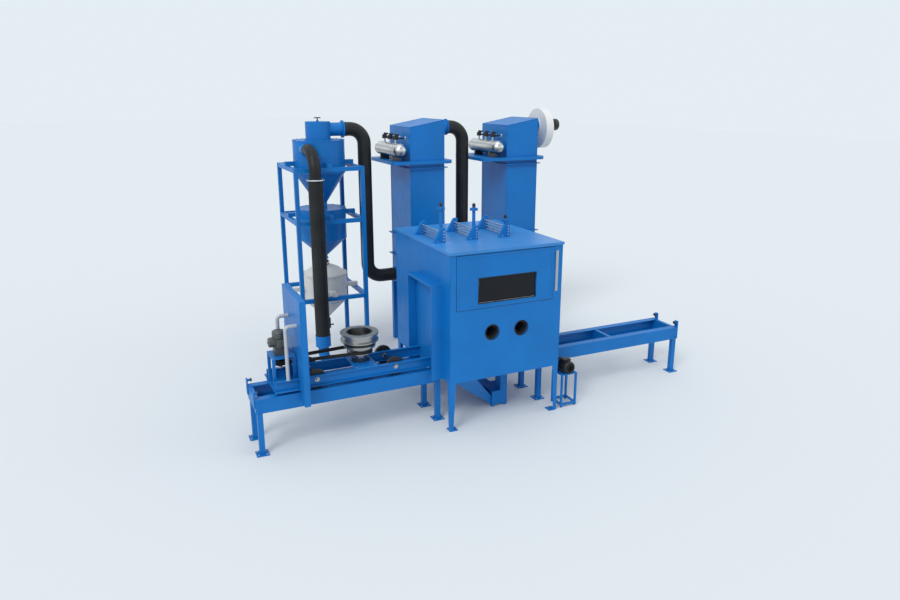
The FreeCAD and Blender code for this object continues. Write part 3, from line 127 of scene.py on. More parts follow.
def paint(name, colour, roughness=0.42, vary=0.06, coat=0.15, specular=0.35):
    material, tree, bsdf = shader(name, colour, roughness, coat=coat, specular=specular)
    dark = [c * (1 - vary) for c in colour]
    light = [min(1, c * (1 + vary)) for c in colour]
    tree.links.new(ramp(tree, noise(tree, 1.7, 5), dark, light), bsdf.inputs["Base Color"])
    rough = spread(tree, noise(tree, 6, 4), roughness - 0.05, roughness + 0.07)
    tree.links.new(rough, bsdf.inputs["Roughness"])
    bump(tree, bsdf, noise(tree, 260, 2), 0.12, 0.0006)
    return material


def rubber(name, colour, roughness=0.6, grain=180):
    material, tree, bsdf = shader(name, colour, roughness, specular=0.22)
    light = [c * 1.5 for c in colour]
    tree.links.new(ramp(tree, noise(tree, 4, 5), colour, light), bsdf.inputs["Base Color"])
    rough = spread(tree, noise(tree, 9, 4), roughness - 0.08, roughness + 0.08)
    tree.links.new(rough, bsdf.inputs["Roughness"])
    bump(tree, bsdf, noise(tree, grain, 3), 0.3, 0.0008)
    return material


def metal(name, colour, roughness, stretch=(1, 1, 1)):
    material, tree, bsdf = shader(name, colour, roughness, metallic=1.0)
    fine = noise(tree, 60, 4, stretch)
    tree.links.new(ramp(tree, fine, [c * 0.9 for c in colour], colour), bsdf.inputs["Base Color"])
    tree.links.new(spread(tree, fine, roughness - 0.06, roughness + 0.08), bsdf.inputs["Roughness"])
    bump(tree, bsdf, fine, 0.08, 0.0003)
    return material


def vector_step(tree, operation, source, value):
    node = tree.nodes.new("ShaderNodeVectorMath")
    node.operation = operation
    node.inputs[1].default_value = value
    tree.links.new(source, node.inputs[0])
    return node.outputs["Vector"]


def bowl(name, centre, radius, floor_level, inner, outer):
    # turned metal, darker in colour above a level and inside a radius about an upright axis
    material, tree, bsdf = shader(name, outer, 0.38, metallic=1.0)
    place = own_place(tree)
    from_axis = vector_step(tree, "MULTIPLY", vector_step(tree, "SUBTRACT", place, (*centre, 0)), (1, 1, 0))
    length = tree.nodes.new("ShaderNodeVectorMath")
    length.operation = "LENGTH"
    tree.links.new(from_axis, length.inputs[0])
    zone = tree.nodes.new("ShaderNodeMapRange")
    zone.inputs["From Min"].default_value = radius
    zone.inputs["From Max"].default_value = radius - 0.006
    tree.links.new(length.outputs["Value"], zone.inputs["Value"])
    above = tree.nodes.new("ShaderNodeMath")
    above.operation = "GREATER_THAN"
    above.inputs[1].default_value = floor_level
    tree.links.new(height_of(tree, place), above.inputs[0])
    both = tree.nodes.new("ShaderNodeMath")
    both.operation = "MULTIPLY"
    tree.links.new(zone.outputs["Result"], both.inputs[0])
    tree.links.new(above.outputs["Value"], both.inputs[1])
    tree.links.new(ramp(tree, both.outputs["Value"], outer, inner, 0.1, 0.9), bsdf.inputs["Base Color"])
    fine = noise(tree, 60, 4, (1, 1, 14))
    tree.links.new(spread(tree, fine, 0.32, 0.46), bsdf.inputs["Roughness"])
    bump(tree, bsdf, fine, 0.1, 0.0003)
    return material


def reflection_banded(name, middle, radius, stops):
    # polished metal with painted reflections: the light and dark bands of a lying tank's reflections, set by
    # height about its axis
    material, tree, bsdf = shader(name, (0.5, 0.51, 0.51), 0.3, metallic=1.0)
    share = tree.nodes.new("ShaderNodeMapRange")
    share.inputs["From Min"].default_value = middle - radius
    share.inputs["From Max"].default_value = middle + radius
    tree.links.new(height_of(tree, own_place(tree)), share.inputs["Value"])
    node = tree.nodes.new("ShaderNodeValToRGB")
    node.color_ramp.interpolation = "B_SPLINE"
    marks = node.color_ramp.elements
    for position, _ in stops[1:-1]:
        marks.new(position)
    for mark, (position, level) in zip(marks, stops):
        mark.position = position
        mark.color = (level, level, level * 0.98, 1)
    tree.links.new(share.outputs["Result"], node.inputs["Fac"])
    tree.links.new(node.outputs["Color"], bsdf.inputs["Base Color"])
    fine = noise(tree, 60, 4, (1, 8, 1))
    tree.links.new(spread(tree, fine, 0.24, 0.4), bsdf.inputs["Roughness"])
    bump(tree, bsdf, fine, 0.08, 0.0003)
    return material


BLUE = paint("blue_paint", (0.003, 0.15, 0.47), 0.5, coat=0.3, specular=0.12)
# a lighter copy of the blue paint for the cabinet roof: a painted sheen standing for grazing light on the top
ROOF_PAINTED_SHEEN = paint("roof_blue", (0.03, 0.21, 0.56), 0.42, 0.08, coat=0.35, specular=0.2)
WHITE = paint("white_paint", (0.7, 0.71, 0.71), 0.4, 0.03)
GREY = paint("grey_paint", (0.62, 0.62, 0.59), 0.42, 0.05)
DARK = paint("dark_machine", (0.014, 0.015, 0.017), 0.45, 0.2)
MOTOR = paint("motor_grey", (0.055, 0.063, 0.062), 0.38, 0.25, specular=0.5)
RUBBER = rubber("black_rubber", (0.013, 0.014, 0.015), 0.45)
BELT = rubber("belt_black", (0.012, 0.012, 0.012), 0.7, 320)
STEEL = metal("bright_steel", (0.72, 0.73, 0.75), 0.25, (1, 8, 1))
ZINC = metal("zinc_bolt", (0.5, 0.51, 0.53), 0.38)
TURNED = metal("turned_steel", (0.4, 0.4, 0.385), 0.36, (1, 1, 14))
BOWL = bowl("turned_bowl", (TABLE_X, TABLE_Y), 0.168, 1.2, (0.09, 0.09, 0.088), (0.4, 0.4, 0.385))
# grey levels of the painted reflection bands, by share of height across the tank
TANK_REFLECTION_BANDS = ((0.0, 0.1), (0.16, 0.22), (0.28, 0.62), (0.4, 0.2), (0.5, 0.5), (0.6, 0.85), (0.72, 0.3),
              (0.84, 0.75), (1.0, 0.6))
TANK_PAINTED_REFLECTIONS = reflection_banded("tank_steel", TANK_Z, TANK_RADIUS, TANK_REFLECTION_BANDS)
PIPE = paint("grey_pipe", (0.42, 0.44, 0.47), 0.3, 0.06, 0.3)
GLASS = paint("dark_glass", (0.004, 0.005, 0.009), 0.12, 0.2, coat=0.0, specular=0.25)
SLOT_LOOKS = {
    "blue_paint": BLUE, "white_paint": WHITE, "grey_paint": GREY, "dark_machine": DARK, "motor_grey": MOTOR,
    "black_rubber": RUBBER, "drive_belt_black": BELT, "bright_steel": STEEL, "dark_glass": GLASS,
}
NODE_LOOKS = {
    "cabinet_roof": ROOF_PAINTED_SHEEN, "air_tanks": TANK_PAINTED_REFLECTIONS, "turntable_drum": BOWL, "turntable_pulley": TURNED,
    "push_handles": PIPE, "drive_pulley": BELT,
}
for row in frame["record"]["subparts"]:
    mesh = NODES[row["node"]].data
    mesh.materials.clear()
    mesh.materials.append(NODE_LOOKS.get(row["node"], SLOT_LOOKS[row["material_slot"]]))


# Mesh tools
X, Y, Z = Vector((1, 0, 0)), Vector((0, 1, 0)), Vector((0, 0, 1))


def along(axis):
    return Vector(axis).to_track_quat("Z", "Y").to_matrix()


def polar(radius, angle, height=0.0):
    return Vector((radius * math.cos(angle), radius * math.sin(angle), height))


class Work:
    """One piece in the making: solids are added to it, then it is given a look and a body."""

    def __init__(self):
        self.bm = bmesh.new()

    def skin(self, rings, closed=False):
        # an open skin is capped by its first and last ring, a closed one joins them
        pairs = list(zip(rings, rings[1:] + rings[:1])) if closed else list(zip(rings, rings[1:]))
        count = max(len(ring) for ring in rings)
        for low, high in pairs:
            for k in range(count):
                corners = [low[k % len(low)], low[(k + 1) % len(low)],
                           high[(k + 1) % len(high)], high[k % len(high)]]
                unique = list(dict.fromkeys(corners))
                if len(unique) > 2:
                    self.bm.faces.new(unique)
        if not closed:
            for ring in (rings[0], rings[-1]):
                if len(ring) > 2:
                    self.bm.faces.new(ring)

    def lathe(self, centre, axis, profile, seg=24, turn=0.0):
        basis = along(axis)
        rings = []
        for radius, height in profile:
            count = seg if radius > 1e-6 else 1
            angles = [turn + 2 * math.pi * k / count for k in range(count)]
            rings.append([self.bm.verts.new(Vector(centre) + basis @ polar(radius, a, height))
                          for a in angles])
        self.skin(rings)

    def drum(self, centre, axis, radius, length, edge=0.002, seg=32):
        self.lathe(centre, axis, [(0, 0), (radius - edge, 0), (radius, edge), (radius, length - edge),
                                  (radius - edge, length), (0, length)], seg)

    def ring(self, centre, axis, radius, wide, tall, seg=48, edge=0.002):
        # a flat ring with its inner side at radius
        out = radius + wide
        basis = along(axis)
        rings = []
        for r, h in ((radius, 0), (out - edge, 0), (out, edge), (out, tall - edge), (out - edge, tall),
                     (radius, tall)):
            rings.append([self.bm.verts.new(Vector(centre) + basis @ polar(r, 2 * math.pi * k / seg, h))
                          for k in range(seg)])
        self.skin(rings, closed=True)

    def box(self, low, high, edge=0.002):
        low, high = Vector(low), Vector(high)
        place = Matrix.Translation((low + high) / 2) @ Matrix.Diagonal((*(high - low), 1))
        made = bmesh.ops.create_cube(self.bm, size=1, matrix=place)
        edges = {e for v in made["verts"] for e in v.link_edges}
        bmesh.ops.bevel(self.bm, geom=list(edges), offset=edge, segments=2, affect="EDGES", profile=0.6)

    def bolt(self, centre, axis, size=0.012, nut=False):
        tall = 0.75 * size
        washer = 0.18 * size
        self.lathe(centre, axis, [(0, 0), (1.25 * size, 0), (1.25 * size, washer), (0, washer)], 14)
        head = [(0, washer), (0.95 * size, washer), (0.95 * size, tall * 0.85), (0.78 * size, tall),
                (0, tall)]
        self.lathe(centre, axis, head, 6, 0.3)
        if nut:
            self.lathe(centre, axis, [(0, tall), (0.5 * size, tall), (0.5 * size, tall + 0.4 * size),
                                      (0.36 * size, tall + 0.55 * size), (0, tall + 0.55 * size)], 10)

    def bolt_circle(self, centre, axis, radius, count, size=0.012, nut=False):
        basis = along(axis)
        for k in range(count):
            a = 2 * math.pi * (k + 0.5) / count
            self.bolt(Vector(centre) + basis @ polar(radius, a), axis, size, nut)

    def tube(self, points, radius, seg=8, ripple=0.0, step=0.0):
        # a round bead or wire along straight runs, its radius rippled for a weld
        points = [Vector(p) for p in points]
        path = [points[0]]
        for a, b in zip(points, points[1:]):
            parts = max(1, int((b - a).length / step)) if step else 1
            path += [a.lerp(b, (k + 1) / parts) for k in range(parts)]
        rings = []
        for i, p in enumerate(path):
            ahead = (path[min(i + 1, len(path) - 1)] - path[max(i - 1, 0)]).normalized()
            basis = along(ahead)
            size = radius * (1 + (ripple if i % 2 else -ripple))
            rings.append([self.bm.verts.new(p + basis @ polar(size, 2 * math.pi * k / seg))
                          for k in range(seg)])
        self.skin(rings)

    def weld(self, points, radius=0.004):
        self.tube(points, radius, 6, 0.18, 0.012)

    def done(self, name, look, body="plant", smooth=35):
        bmesh.ops.recalc_face_normals(self.bm, faces=self.bm.faces)
        mesh = bpy.data.meshes.new(name)
        self.bm.to_mesh(mesh)
        self.bm.free()
        mesh.polygons.foreach_set("use_smooth", [True] * len(mesh.polygons))
        mesh.set_sharp_from_angle(angle=math.radians(smooth))
        mesh.materials.append(look)
        piece = bpy.data.objects.new(name, mesh)
        bpy.context.scene.collection.objects.link(piece)
        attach(piece, body)


def circle_points(centre, axis, radius, count=48):
    basis = along(axis)
    return [Vector(centre) + basis @ polar(radius, 2 * math.pi * k / count) for k in range(count + 1)]


def steps(start, end, count):
    return [start + (end - start) * k / (count - 1) for k in range(count)]


# Cabinet
LEFT, RIGHT, FRONT, BACK, BOTTOM, WALL_TOP = -0.8, 0.8, -0.91, 0.91, 0.655, 2.31
HOOD_FRONT, HOOD_BACK, HOOD_TOP = -0.697, 0.107, 1.902
PORT_X, PORT_Z = 0.212, 1.266
welds = Work()
for x, y in ((LEFT, FRONT), (RIGHT, FRONT), (LEFT, BACK), (RIGHT, BACK)):
    welds.weld([(x, y, BOTTOM + 0.01), (x, y, WALL_TOP - 0.01)], 0.0035)
for x in (LEFT - 0.001, RIGHT + 0.001):
    welds.weld([(x, FRONT, WALL_TOP - 0.001), (x, BACK, WALL_TOP - 0.001)])
for y in (FRONT - 0.001, BACK + 0.001):
    welds.weld([(LEFT, y, WALL_TOP - 0.001), (RIGHT, y, WALL_TOP - 0.001)])
welds.weld([(LEFT - 0.001, HOOD_FRONT, BOTTOM), (LEFT - 0.001, HOOD_FRONT, HOOD_TOP),
            (LEFT - 0.001, HOOD_BACK, HOOD_TOP), (LEFT - 0.001, HOOD_BACK, BOTTOM)])
welds.done("cabinet_welds", BLUE)

# Upper front hatch: a raised border with a seam round it, and its hinge strip
hatch = Work()
x0, x1, z0, z1 = -0.712, 0.668, 1.602, 2.29
border = 0.03
for low, high in (((x0, z0), (x1, z0 + border)), ((x0, z1 - border), (x1, z1)),
                  ((x0, z0 + border), (x0 + border, z1 - border)),
                  ((x1 - border, z0 + border), (x1, z1 - border))):
    hatch.box((low[0], FRONT - 0.004, low[1]), (high[0], FRONT + 0.001, high[1]), 0.0012)
hatch.done("hatch_border", BLUE)
seam = Work()
seam.tube([(x0 - 0.003, FRONT, z0 - 0.003), (x1 + 0.003, FRONT, z0 - 0.003), (x1 + 0.003, FRONT, z1 + 0.003),
           (x0 - 0.003, FRONT, z1 + 0.003), (x0 - 0.003, FRONT, z0 - 0.003)], 0.0028, 6)
seam.done("hatch_seal", RUBBER)
hinge = Work()
hinge.box((0.704, FRONT - 0.003, 1.7), (0.742, FRONT + 0.001, 2.24), 0.0012)
hinge.drum((0.704, FRONT - 0.008, 1.7), Z, 0.006, 0.54, 0.001, 12)
for z in steps(1.73, 2.21, 7):
    hinge.bolt((0.726, FRONT - 0.003, z), -Y, 0.006)
hinge.done("hatch_hinge", ZINC)

# Window bead and liner, and the ring and sleeve folds of each arm port
bead = Work()
wx, wz0, wz1 = 0.413, 1.666, 1.988
bead.tube([(-wx, FRONT - 0.001, wz0), (wx, FRONT - 0.001, wz0), (wx, FRONT - 0.001, wz1),
           (-wx, FRONT - 0.001, wz1), (-wx, FRONT - 0.001, wz0)], 0.006, 10)
for x in (-PORT_X, PORT_X):
    bead.ring((x, FRONT - 0.003, PORT_Z), Y, 0.0925, 0.0125, 0.004, 48, 0.001)
    bead.tube(circle_points((x, FRONT + 0.02, PORT_Z), Y, 0.084, 40), 0.006, 8)
    bead.tube(circle_points((x + 0.003, FRONT + 0.05, 1.262), (0.1, 1, 0.12), 0.078, 36), 0.005, 8)
    bead.tube(circle_points((x + 0.006, FRONT + 0.085, 1.262), (-0.12, 1, 0.1), 0.074, 32), 0.005, 8)
bead.done("window_and_port_rubber", RUBBER)
liner = Work()
for low, high in (((-wx, wz0), (wx, wz0 + 0.008)), ((-wx, wz0), (-wx + 0.008, wz1))):
    liner.box((low[0], FRONT + 0.006, low[1]), (high[0], FRONT + 0.0135, high[1]), 0.001)
liner.done("window_liner", STEEL)

# Anchor bolts of the table legs, and pads on the legs under the cabinet
anchors = Work()
LEG_X = (-3.0815, -0.78, 0.78, 3.2045)
LEG_Y = (-0.4655, -0.0025)
pads = Work()
for x in LEG_X:
    for y in LEG_Y:
        for dx in (-0.052, 0.052):
            for dy in (-0.052, 0.052):
                anchors.bolt((x + dx, y + dy, 0.012), Z, 0.009, True)
        if abs(x) < 1:
            pads.box((x - 0.0395, y - 0.0395, 0.63), (x + 0.0395, y + 0.0395, 0.6545), 0.002)
anchors.done("anchor_bolts", ZINC)
pads.done("leg_pads", RUBBER)

# Rails: web bolts at the cabinet and at the ends, and the buffers of the end stops
rail_bolts = Work()
for y, out in ((RAIL_FRONT, -Y), (RAIL_BACK, Y)):
    for x in (-3.09, -3.05, -0.87, -0.83, 0.83, 0.87, 3.17, 3.21):
        for z in (0.575, 0.63, 0.685):
            rail_bolts.bolt((x, y, z), out, 0.009)
rail_bolts.done("rail_bolts", BLUE)
buffers = Work()
for x, out in ((-3.092, X), (3.215, -X)):
    for y in (-0.46, -0.01):
        buffers.lathe((x, y, 0.788), out, [(0, 0), (0.019, 0), (0.024, 0.004), (0.022, 0.012), (0.012, 0.018),
                                           (0, 0.019)], 24)
buffers.done("stop_buffers", RUBBER)

# Tower: foot anchors, welds, flange bolts, hand hole cover and the wheel of the gate valve
# the height of each level of the frame, and the vessel's radius there
LEVELS = {3.134: 0.39, 2.36: 0.372, 1.167: 0.341}
tower = Work()
for sx in (-1, 1):
    for sy in (-1, 1):
        x, y = TOWER_X + sx * 0.5, ROW + sy * 0.55
        for dx in (-0.045, 0.045):
            for dy in (-0.045, 0.045):
                tower.bolt((x + dx, y + dy, 0.012), Z, 0.007, True)
tower.done("tower_anchors", ZINC)
joints = Work()
for top in LEVELS:
    for sx in (-1, 1):
        for sy in (-1, 1):
            x, y = TOWER_X + sx * 0.47, ROW + sy * 0.58
            joints.weld([(x, y, top - 0.06), (x, y, top)], 0.0035)
            x, y = TOWER_X + sx * 0.53, ROW + sy * 0.52
            joints.weld([(x, y, top - 0.06), (x, y, top)], 0.0035)
for level, radius in LEVELS.items():
    for axis, side in ((X, Y), (-X, Y), (Y, X), (-Y, X)):
        foot = Vector((TOWER_X, ROW, level + 0.06)) + axis * (radius + 0.001)
        joints.weld([foot - side * 0.035, foot + side * 0.035], 0.004)
for radius, z in ((0.39, 3.02), (0.372, 2.0), (0.341, 0.998), (0.39, 3.26)):
    joints.weld(circle_points((TOWER_X, ROW, z), Z, radius, 96), 0.0035)
joints.done("tower_welds", BLUE)
flanges = Work()
flanges.bolt_circle((TOWER_X, ROW, 3.506), Z, 0.372, 20, 0.009)
flanges.bolt_circle((TOWER_X, ROW, 3.506), Z, 0.176 + 0.035, 12, 0.007)
flanges.bolt_circle((TOWER_X, ROW, 2.469), Z, 0.354, 20, 0.008)
flanges.bolt_circle((TOWER_X + 0.37, ROW, OUTLET_Z), -X, 0.117, 10, 0.006)
flanges.ring((TOWER_X, ROW, 3.506), Z, 0.188, 0.036, 0.01, 64)
flanges.done("tower_flange_bolts", BLUE)
pot_bolts = Work()
pot_bolts.bolt_circle((TOWER_X, ROW, 1.432), Z, 0.347, 24, 0.0065)
pot_bolts.done("pot_flange_bolts", ZINC)
cover = Work()
hx = TOWER_X - 0.341 - 0.026
cover.bolt_circle((hx, ROW, 1.204), -X, 0.056, 6, 0.007)
cover.drum((hx, ROW, 1.204), -X, 0.03, 0.014)
cover.box((hx - 0.03, ROW - 0.012, 1.192), (hx - 0.006, ROW + 0.012, 1.216), 0.002)
cover.done("hand_hole_cover", DARK)
gate = Work()
gate_z, wheel_y, wheel_radius = 1.623, ROW - 0.128, 0.045
for side in (-1, 1):
    gate.lathe((TOWER_X, ROW + side * 0.07, gate_z), Y * side,
               [(0, 0), (0.044, 0), (0.044, 0.01), (0.02, 0.014), (0.02, 0.03), (0, 0.03)], 24)
gate.lathe((TOWER_X, ROW - 0.1, gate_z), -Y, [(0, 0), (0.009, 0), (0.009, 0.03), (0, 0.03)], 12)
gate.tube(circle_points((TOWER_X, wheel_y, gate_z), Y, wheel_radius, 32), 0.006, 8)
for k in range(3):
    a = 2 * math.pi * k / 3
    rim = (TOWER_X + wheel_radius * math.cos(a), wheel_y, gate_z + wheel_radius * math.sin(a))
    gate.tube([(TOWER_X, wheel_y, gate_z), rim], 0.005, 8)
gate.done("gate_valve_wheel", DARK)

# Hoses: supply ring, clamps, coupling and the welds of the cup
SUPPLY_X, SUPPLY_Y = TOWER_X - 0.262, 1.67
rings = Work()
rings.ring((SUPPLY_X, SUPPLY_Y, 2.9775), Z, 0.1, 0.034, 0.017, 64)
rings.bolt_circle((SUPPLY_X, SUPPLY_Y, 2.9945), Z, 0.122, 8, 0.005)
rings.done("supply_ring", STEEL)
clamps = Work()


def clamp(centre, axis, radius):
    clamps.ring(Vector(centre) - Vector(axis) * 0.011, axis, radius, 0.002, 0.022, 56, 0.0008)
    side = along(axis) @ Vector((radius + 0.008, 0, 0))
    clamps.drum(Vector(centre) + side - Vector(axis) * 0.013, axis, 0.006, 0.026, 0.001, 12)


for x, z in ((-1.03, OUTLET_Z), (-0.328, INLET_Z), (0.714, OUTLET_Z), (1.397, INLET_Z)):
    clamp((x, ROW, z), X, 0.1055)
clamps.done("hose_clamps", DARK)
coupling = Work()
for z in (0.76, 0.8, 0.84, 0.88):
    coupling.drum((SUPPLY_X + 0.1, SUPPLY_Y, z - 0.012), Z, 0.026, 0.024, 0.003, 20)
coupling.box((SUPPLY_X + 0.1, SUPPLY_Y - 0.012, 0.74), (SUPPLY_X + 0.128, SUPPLY_Y + 0.012, 0.9), 0.003)
coupling.lathe((SUPPLY_X + 0.126, SUPPLY_Y, 0.79), X,
               [(0, 0), (0.009, 0), (0.009, 0.03), (0.013, 0.032), (0.013, 0.045), (0, 0.047)], 14)
coupling.done("hose_coupling", DARK)
cup = Work()
cup.weld(circle_points((SUPPLY_X, SUPPLY_Y, 0.64), Z, 0.114, 64), 0.003)
cup.weld(circle_points((SUPPLY_X, SUPPLY_Y, 0.475), Z, 0.114, 64), 0.004)
cup.done("cup_welds", BLUE)

# Dust collectors: welds, flange bolts, tank straps, valve heads and stems, duct collar bolts
EAVES = (3.68, 3.785)
shells = Work()
bolts = Work()
straps = Work()
heads = Work()
stems = Work()
for cx in (0.148, 1.866):
    left, right, front, back = cx - 0.2905, cx + 0.2905, ROW - 0.439, ROW + 0.439
    for x, eave in zip((left, right), EAVES):
        for y in (front, back):
            for z0, z1 in ((1.21, 1.54), (1.552, 1.9), (1.912, 3.045), (3.166, eave - 0.01)):
                shells.weld([(x, y, z0), (x, y, z1)], 0.0035)
        shells.weld([(x, front, eave), (x, back, eave)], 0.004)
    for y in (front, back):
        shells.weld([(left, y, EAVES[0]), (right, y, EAVES[1])], 0.004)
    for z in (3.045, 1.9, 1.54):
        for y in (front - 0.0225, back + 0.0225):
            for x in steps(left - 0.02, right + 0.02, 7):
                bolts.bolt((x, y, z + 0.012), Z, 0.0065)
        for x in (left - 0.0225, right + 0.0225):
            for y in steps(front + 0.07, back - 0.07, 8):
                bolts.bolt((x, y, z + 0.012), Z, 0.0065)
    axis_x = left - 0.167
    for dy in (-0.26, 0.26):
        straps.ring((axis_x, ROW + dy - 0.014, TANK_Z), Y, TANK_RADIUS, 0.0025, 0.028, 64, 0.0008)
        for side in (-1, 1):
            straps.bolt((axis_x + side * 0.09, ROW + dy, 3.168), Z, 0.008)
    for dy in (-0.42, 0.42):
        straps.weld(circle_points((axis_x, ROW + dy, TANK_Z), Y, TANK_RADIUS, 72), 0.0028)
    for dy in (-0.243, 0, 0.243):
        y = ROW + dy
        stems.lathe((axis_x, y, 3.43), Z,
                    [(0, 0), (0.021, 0), (0.021, 0.012), (0.0145, 0.016), (0.0145, 0.05), (0.019, 0.052),
                     (0.019, 0.062), (0, 0.062)], 20)
        heads.lathe((axis_x, y, 3.486), Z,
                    [(0, 0), (0.036, 0), (0.042, 0.004), (0.042, 0.016), (0.039, 0.02), (0.039, 0.058),
                     (0.03, 0.063), (0.016, 0.064), (0.016, 0.09), (0, 0.092)], 28)
        heads.bolt_circle((axis_x, y, 3.5015), Z, 0.0405, 8, 0.0042)
        heads.box((axis_x + 0.018, y - 0.016, 3.547), (axis_x + 0.06, y + 0.016, 3.572), 0.003)
        stems.lathe((left, y, 3.506), -X,
                    [(0, 0), (0.03, 0), (0.03, 0.006), (0.02, 0.008), (0.02, 0.024), (0.0135, 0.026),
                     (0, 0.026)], 20)
shells.done("collector_welds", BLUE)
bolts.done("collector_flange_bolts", BLUE)
# the tank straps carry the same painted reflection bands
straps.done("tank_straps", TANK_PAINTED_REFLECTIONS)
heads.done("valve_heads", DARK)
stems.done("valve_stems", STEEL)
collar_bolts = Work()
for x, z, out in ((-0.1655, INLET_Z, -X), (1.5525, INLET_Z, -X), (0.4525, OUTLET_Z, X),
                  (-0.2655, INLET_Z, X), (1.4525, INLET_Z, X), (0.6565, OUTLET_Z, -X)):
    collar_bolts.bolt_circle((x, ROW, z), out, 0.118, 10, 0.0055)
collar_bolts.done("collar_bolts", BLUE)

# Fan: casing rims, bolts round the motor and the ribbed motor with its cowl
FAN_X, FAN_Z = 2.4045, OUTLET_Z
casing = Work()
for x in (FAN_X - 0.0005, FAN_X + 0.1345):
    casing.ring((x, ROW, FAN_Z - 0.055), X, 0.322, 0.013, 0.006, 96, 0.001)
casing.bolt_circle((FAN_X + 0.14, ROW, FAN_Z), X, 0.135, 10, 0.007)
casing.ring((FAN_X + 0.139, ROW, FAN_Z), X, 0.09, 0.06, 0.006, 64)
casing.done("fan_casing_rims", WHITE)


def motor_dress(centre, axis, radius, start, end, fins=30, tall=0.012):
    # ribs between start and end along the axis, with a ring at each end of them
    piece = Work()
    centre, axis = Vector(centre), Vector(axis)
    basis = along(axis)
    for k in range(fins):
        a = 2 * math.pi * (k + 0.5) / fins
        out = basis @ polar(1, a)
        side = axis.cross(out) * 0.0018
        inner, outer = radius - 0.002, radius + tall
        quad = [centre + out * inner - side, centre + out * outer - side * 0.6,
                centre + out * outer + side * 0.6, centre + out * inner + side]
        rings = [[piece.bm.verts.new(p + axis * start) for p in quad],
                 [piece.bm.verts.new(p + axis * end) for p in quad]]
        piece.skin(rings)
    for base in (start - 0.014, end):
        piece.ring(centre + axis * base, axis, radius - 0.004, tall + 0.005, 0.014, 48, 0.003)
    return piece


motor = motor_dress((FAN_X + 0.14, ROW, FAN_Z), X, 0.088, 0.03, 0.17)
motor.lathe((FAN_X + 0.324, ROW, FAN_Z), X,
            [(0.089, 0), (0.1, 0), (0.1, 0.07), (0.092, 0.082), (0.07, 0.086), (0.02, 0.086), (0, 0.086)], 40)
for radius in (0.03, 0.05, 0.07):
    motor.ring((FAN_X + 0.409, ROW, FAN_Z), X, radius, 0.006, 0.004, 40, 0.001)
motor.box((FAN_X + 0.19, ROW - 0.05, FAN_Z + 0.085), (FAN_X + 0.29, ROW + 0.05, FAN_Z + 0.135), 0.006)
motor.drum((FAN_X + 0.24, ROW - 0.05, FAN_Z + 0.11), -Y, 0.014, 0.02, 0.002, 16)
motor.done("fan_motor_ribs", DARK)

# Gun lifts: bracket bolts, rod nuts, tube rings and dark knobs
ROOF_Z = 2.345
lift_bolts = Work()
lift_rings = Work()
knobs = Work()
for step, tall in enumerate((0.455, 0.415, 0.235)):
    x = -0.75 + step * 0.47
    for z in (2.375, 2.413, 2.451, 2.489):
        lift_bolts.bolt((x + 0.138, -0.32, z), -Y, 0.0085)
        lift_bolts.bolt((x + 0.099, 0.35, z), Y, 0.012)
    lift_bolts.bolt((x + 0.05, -0.32, 2.362), -Y, 0.0075)
    tx, ty, top = x + 0.134, -0.236, ROOF_Z + tall
    lift_rings.lathe((tx, ty, ROOF_Z), Z,
                     [(0, 0), (0.038, 0), (0.038, 0.01), (0.028, 0.016), (0.0225, 0.03), (0, 0.03)], 28)
    lift_rings.ring((tx, ty, top - 0.04), Z, 0.0225, 0.012, 0.03, 28)
    for k in range(6):
        a = math.pi * k / 3
        place = Vector((tx + 0.045 * math.cos(a), ty + 0.045 * math.sin(a), top - 0.044))
        lift_rings.drum(place, Z, 0.0125, 0.03, 0.002, 16)
    knobs.lathe((tx, ty, top), Z,
                [(0, 0), (0.019, 0), (0.019, 0.008), (0.024, 0.012), (0.024, 0.034), (0.016, 0.04),
                 (0.0155, 0.046), (0.012, 0.05), (0, 0.0505)], 10)
lift_bolts.done("lift_bolts", ZINC)
lift_rings.done("lift_rings", BLUE)
knobs.done("lift_knobs", DARK)

# Ribbed motor on the free stand, and its bolts
STAND_X, STAND_Z = 1.015, 0.568
stand = motor_dress((STAND_X, -0.765, STAND_Z), Y, 0.072, -0.09, 0.06, tall=0.01)
stand.lathe((STAND_X, -0.9, STAND_Z), Y,
            [(0, 0), (0.06, 0), (0.074, 0.006), (0.08, 0.014), (0.08, 0.05), (0.073, 0.052)], 36)
for radius in (0.02, 0.036, 0.052):
    stand.ring((STAND_X, -0.9035, STAND_Z), Y, radius, 0.005, 0.004, 32, 0.001)
stand.box((STAND_X - 0.05, -0.83, 0.635), (STAND_X + 0.05, -0.74, 0.672), 0.005)
stand.drum((STAND_X + 0.05, -0.785, 0.65), X, 0.012, 0.018, 0.002, 14)
stand.drum((STAND_X, -0.63, STAND_Z), Y, 0.014, 0.05, 0.002, 16)
stand.done("stand_motor_ribs", DARK)
stand_bolts = Work()
for x in (0.958, 1.072):
    for y in (-0.845, -0.685):
        stand_bolts.bolt((x, y, 0.48), Z, 0.007)
stand_bolts.done("stand_bolts", ZINC)

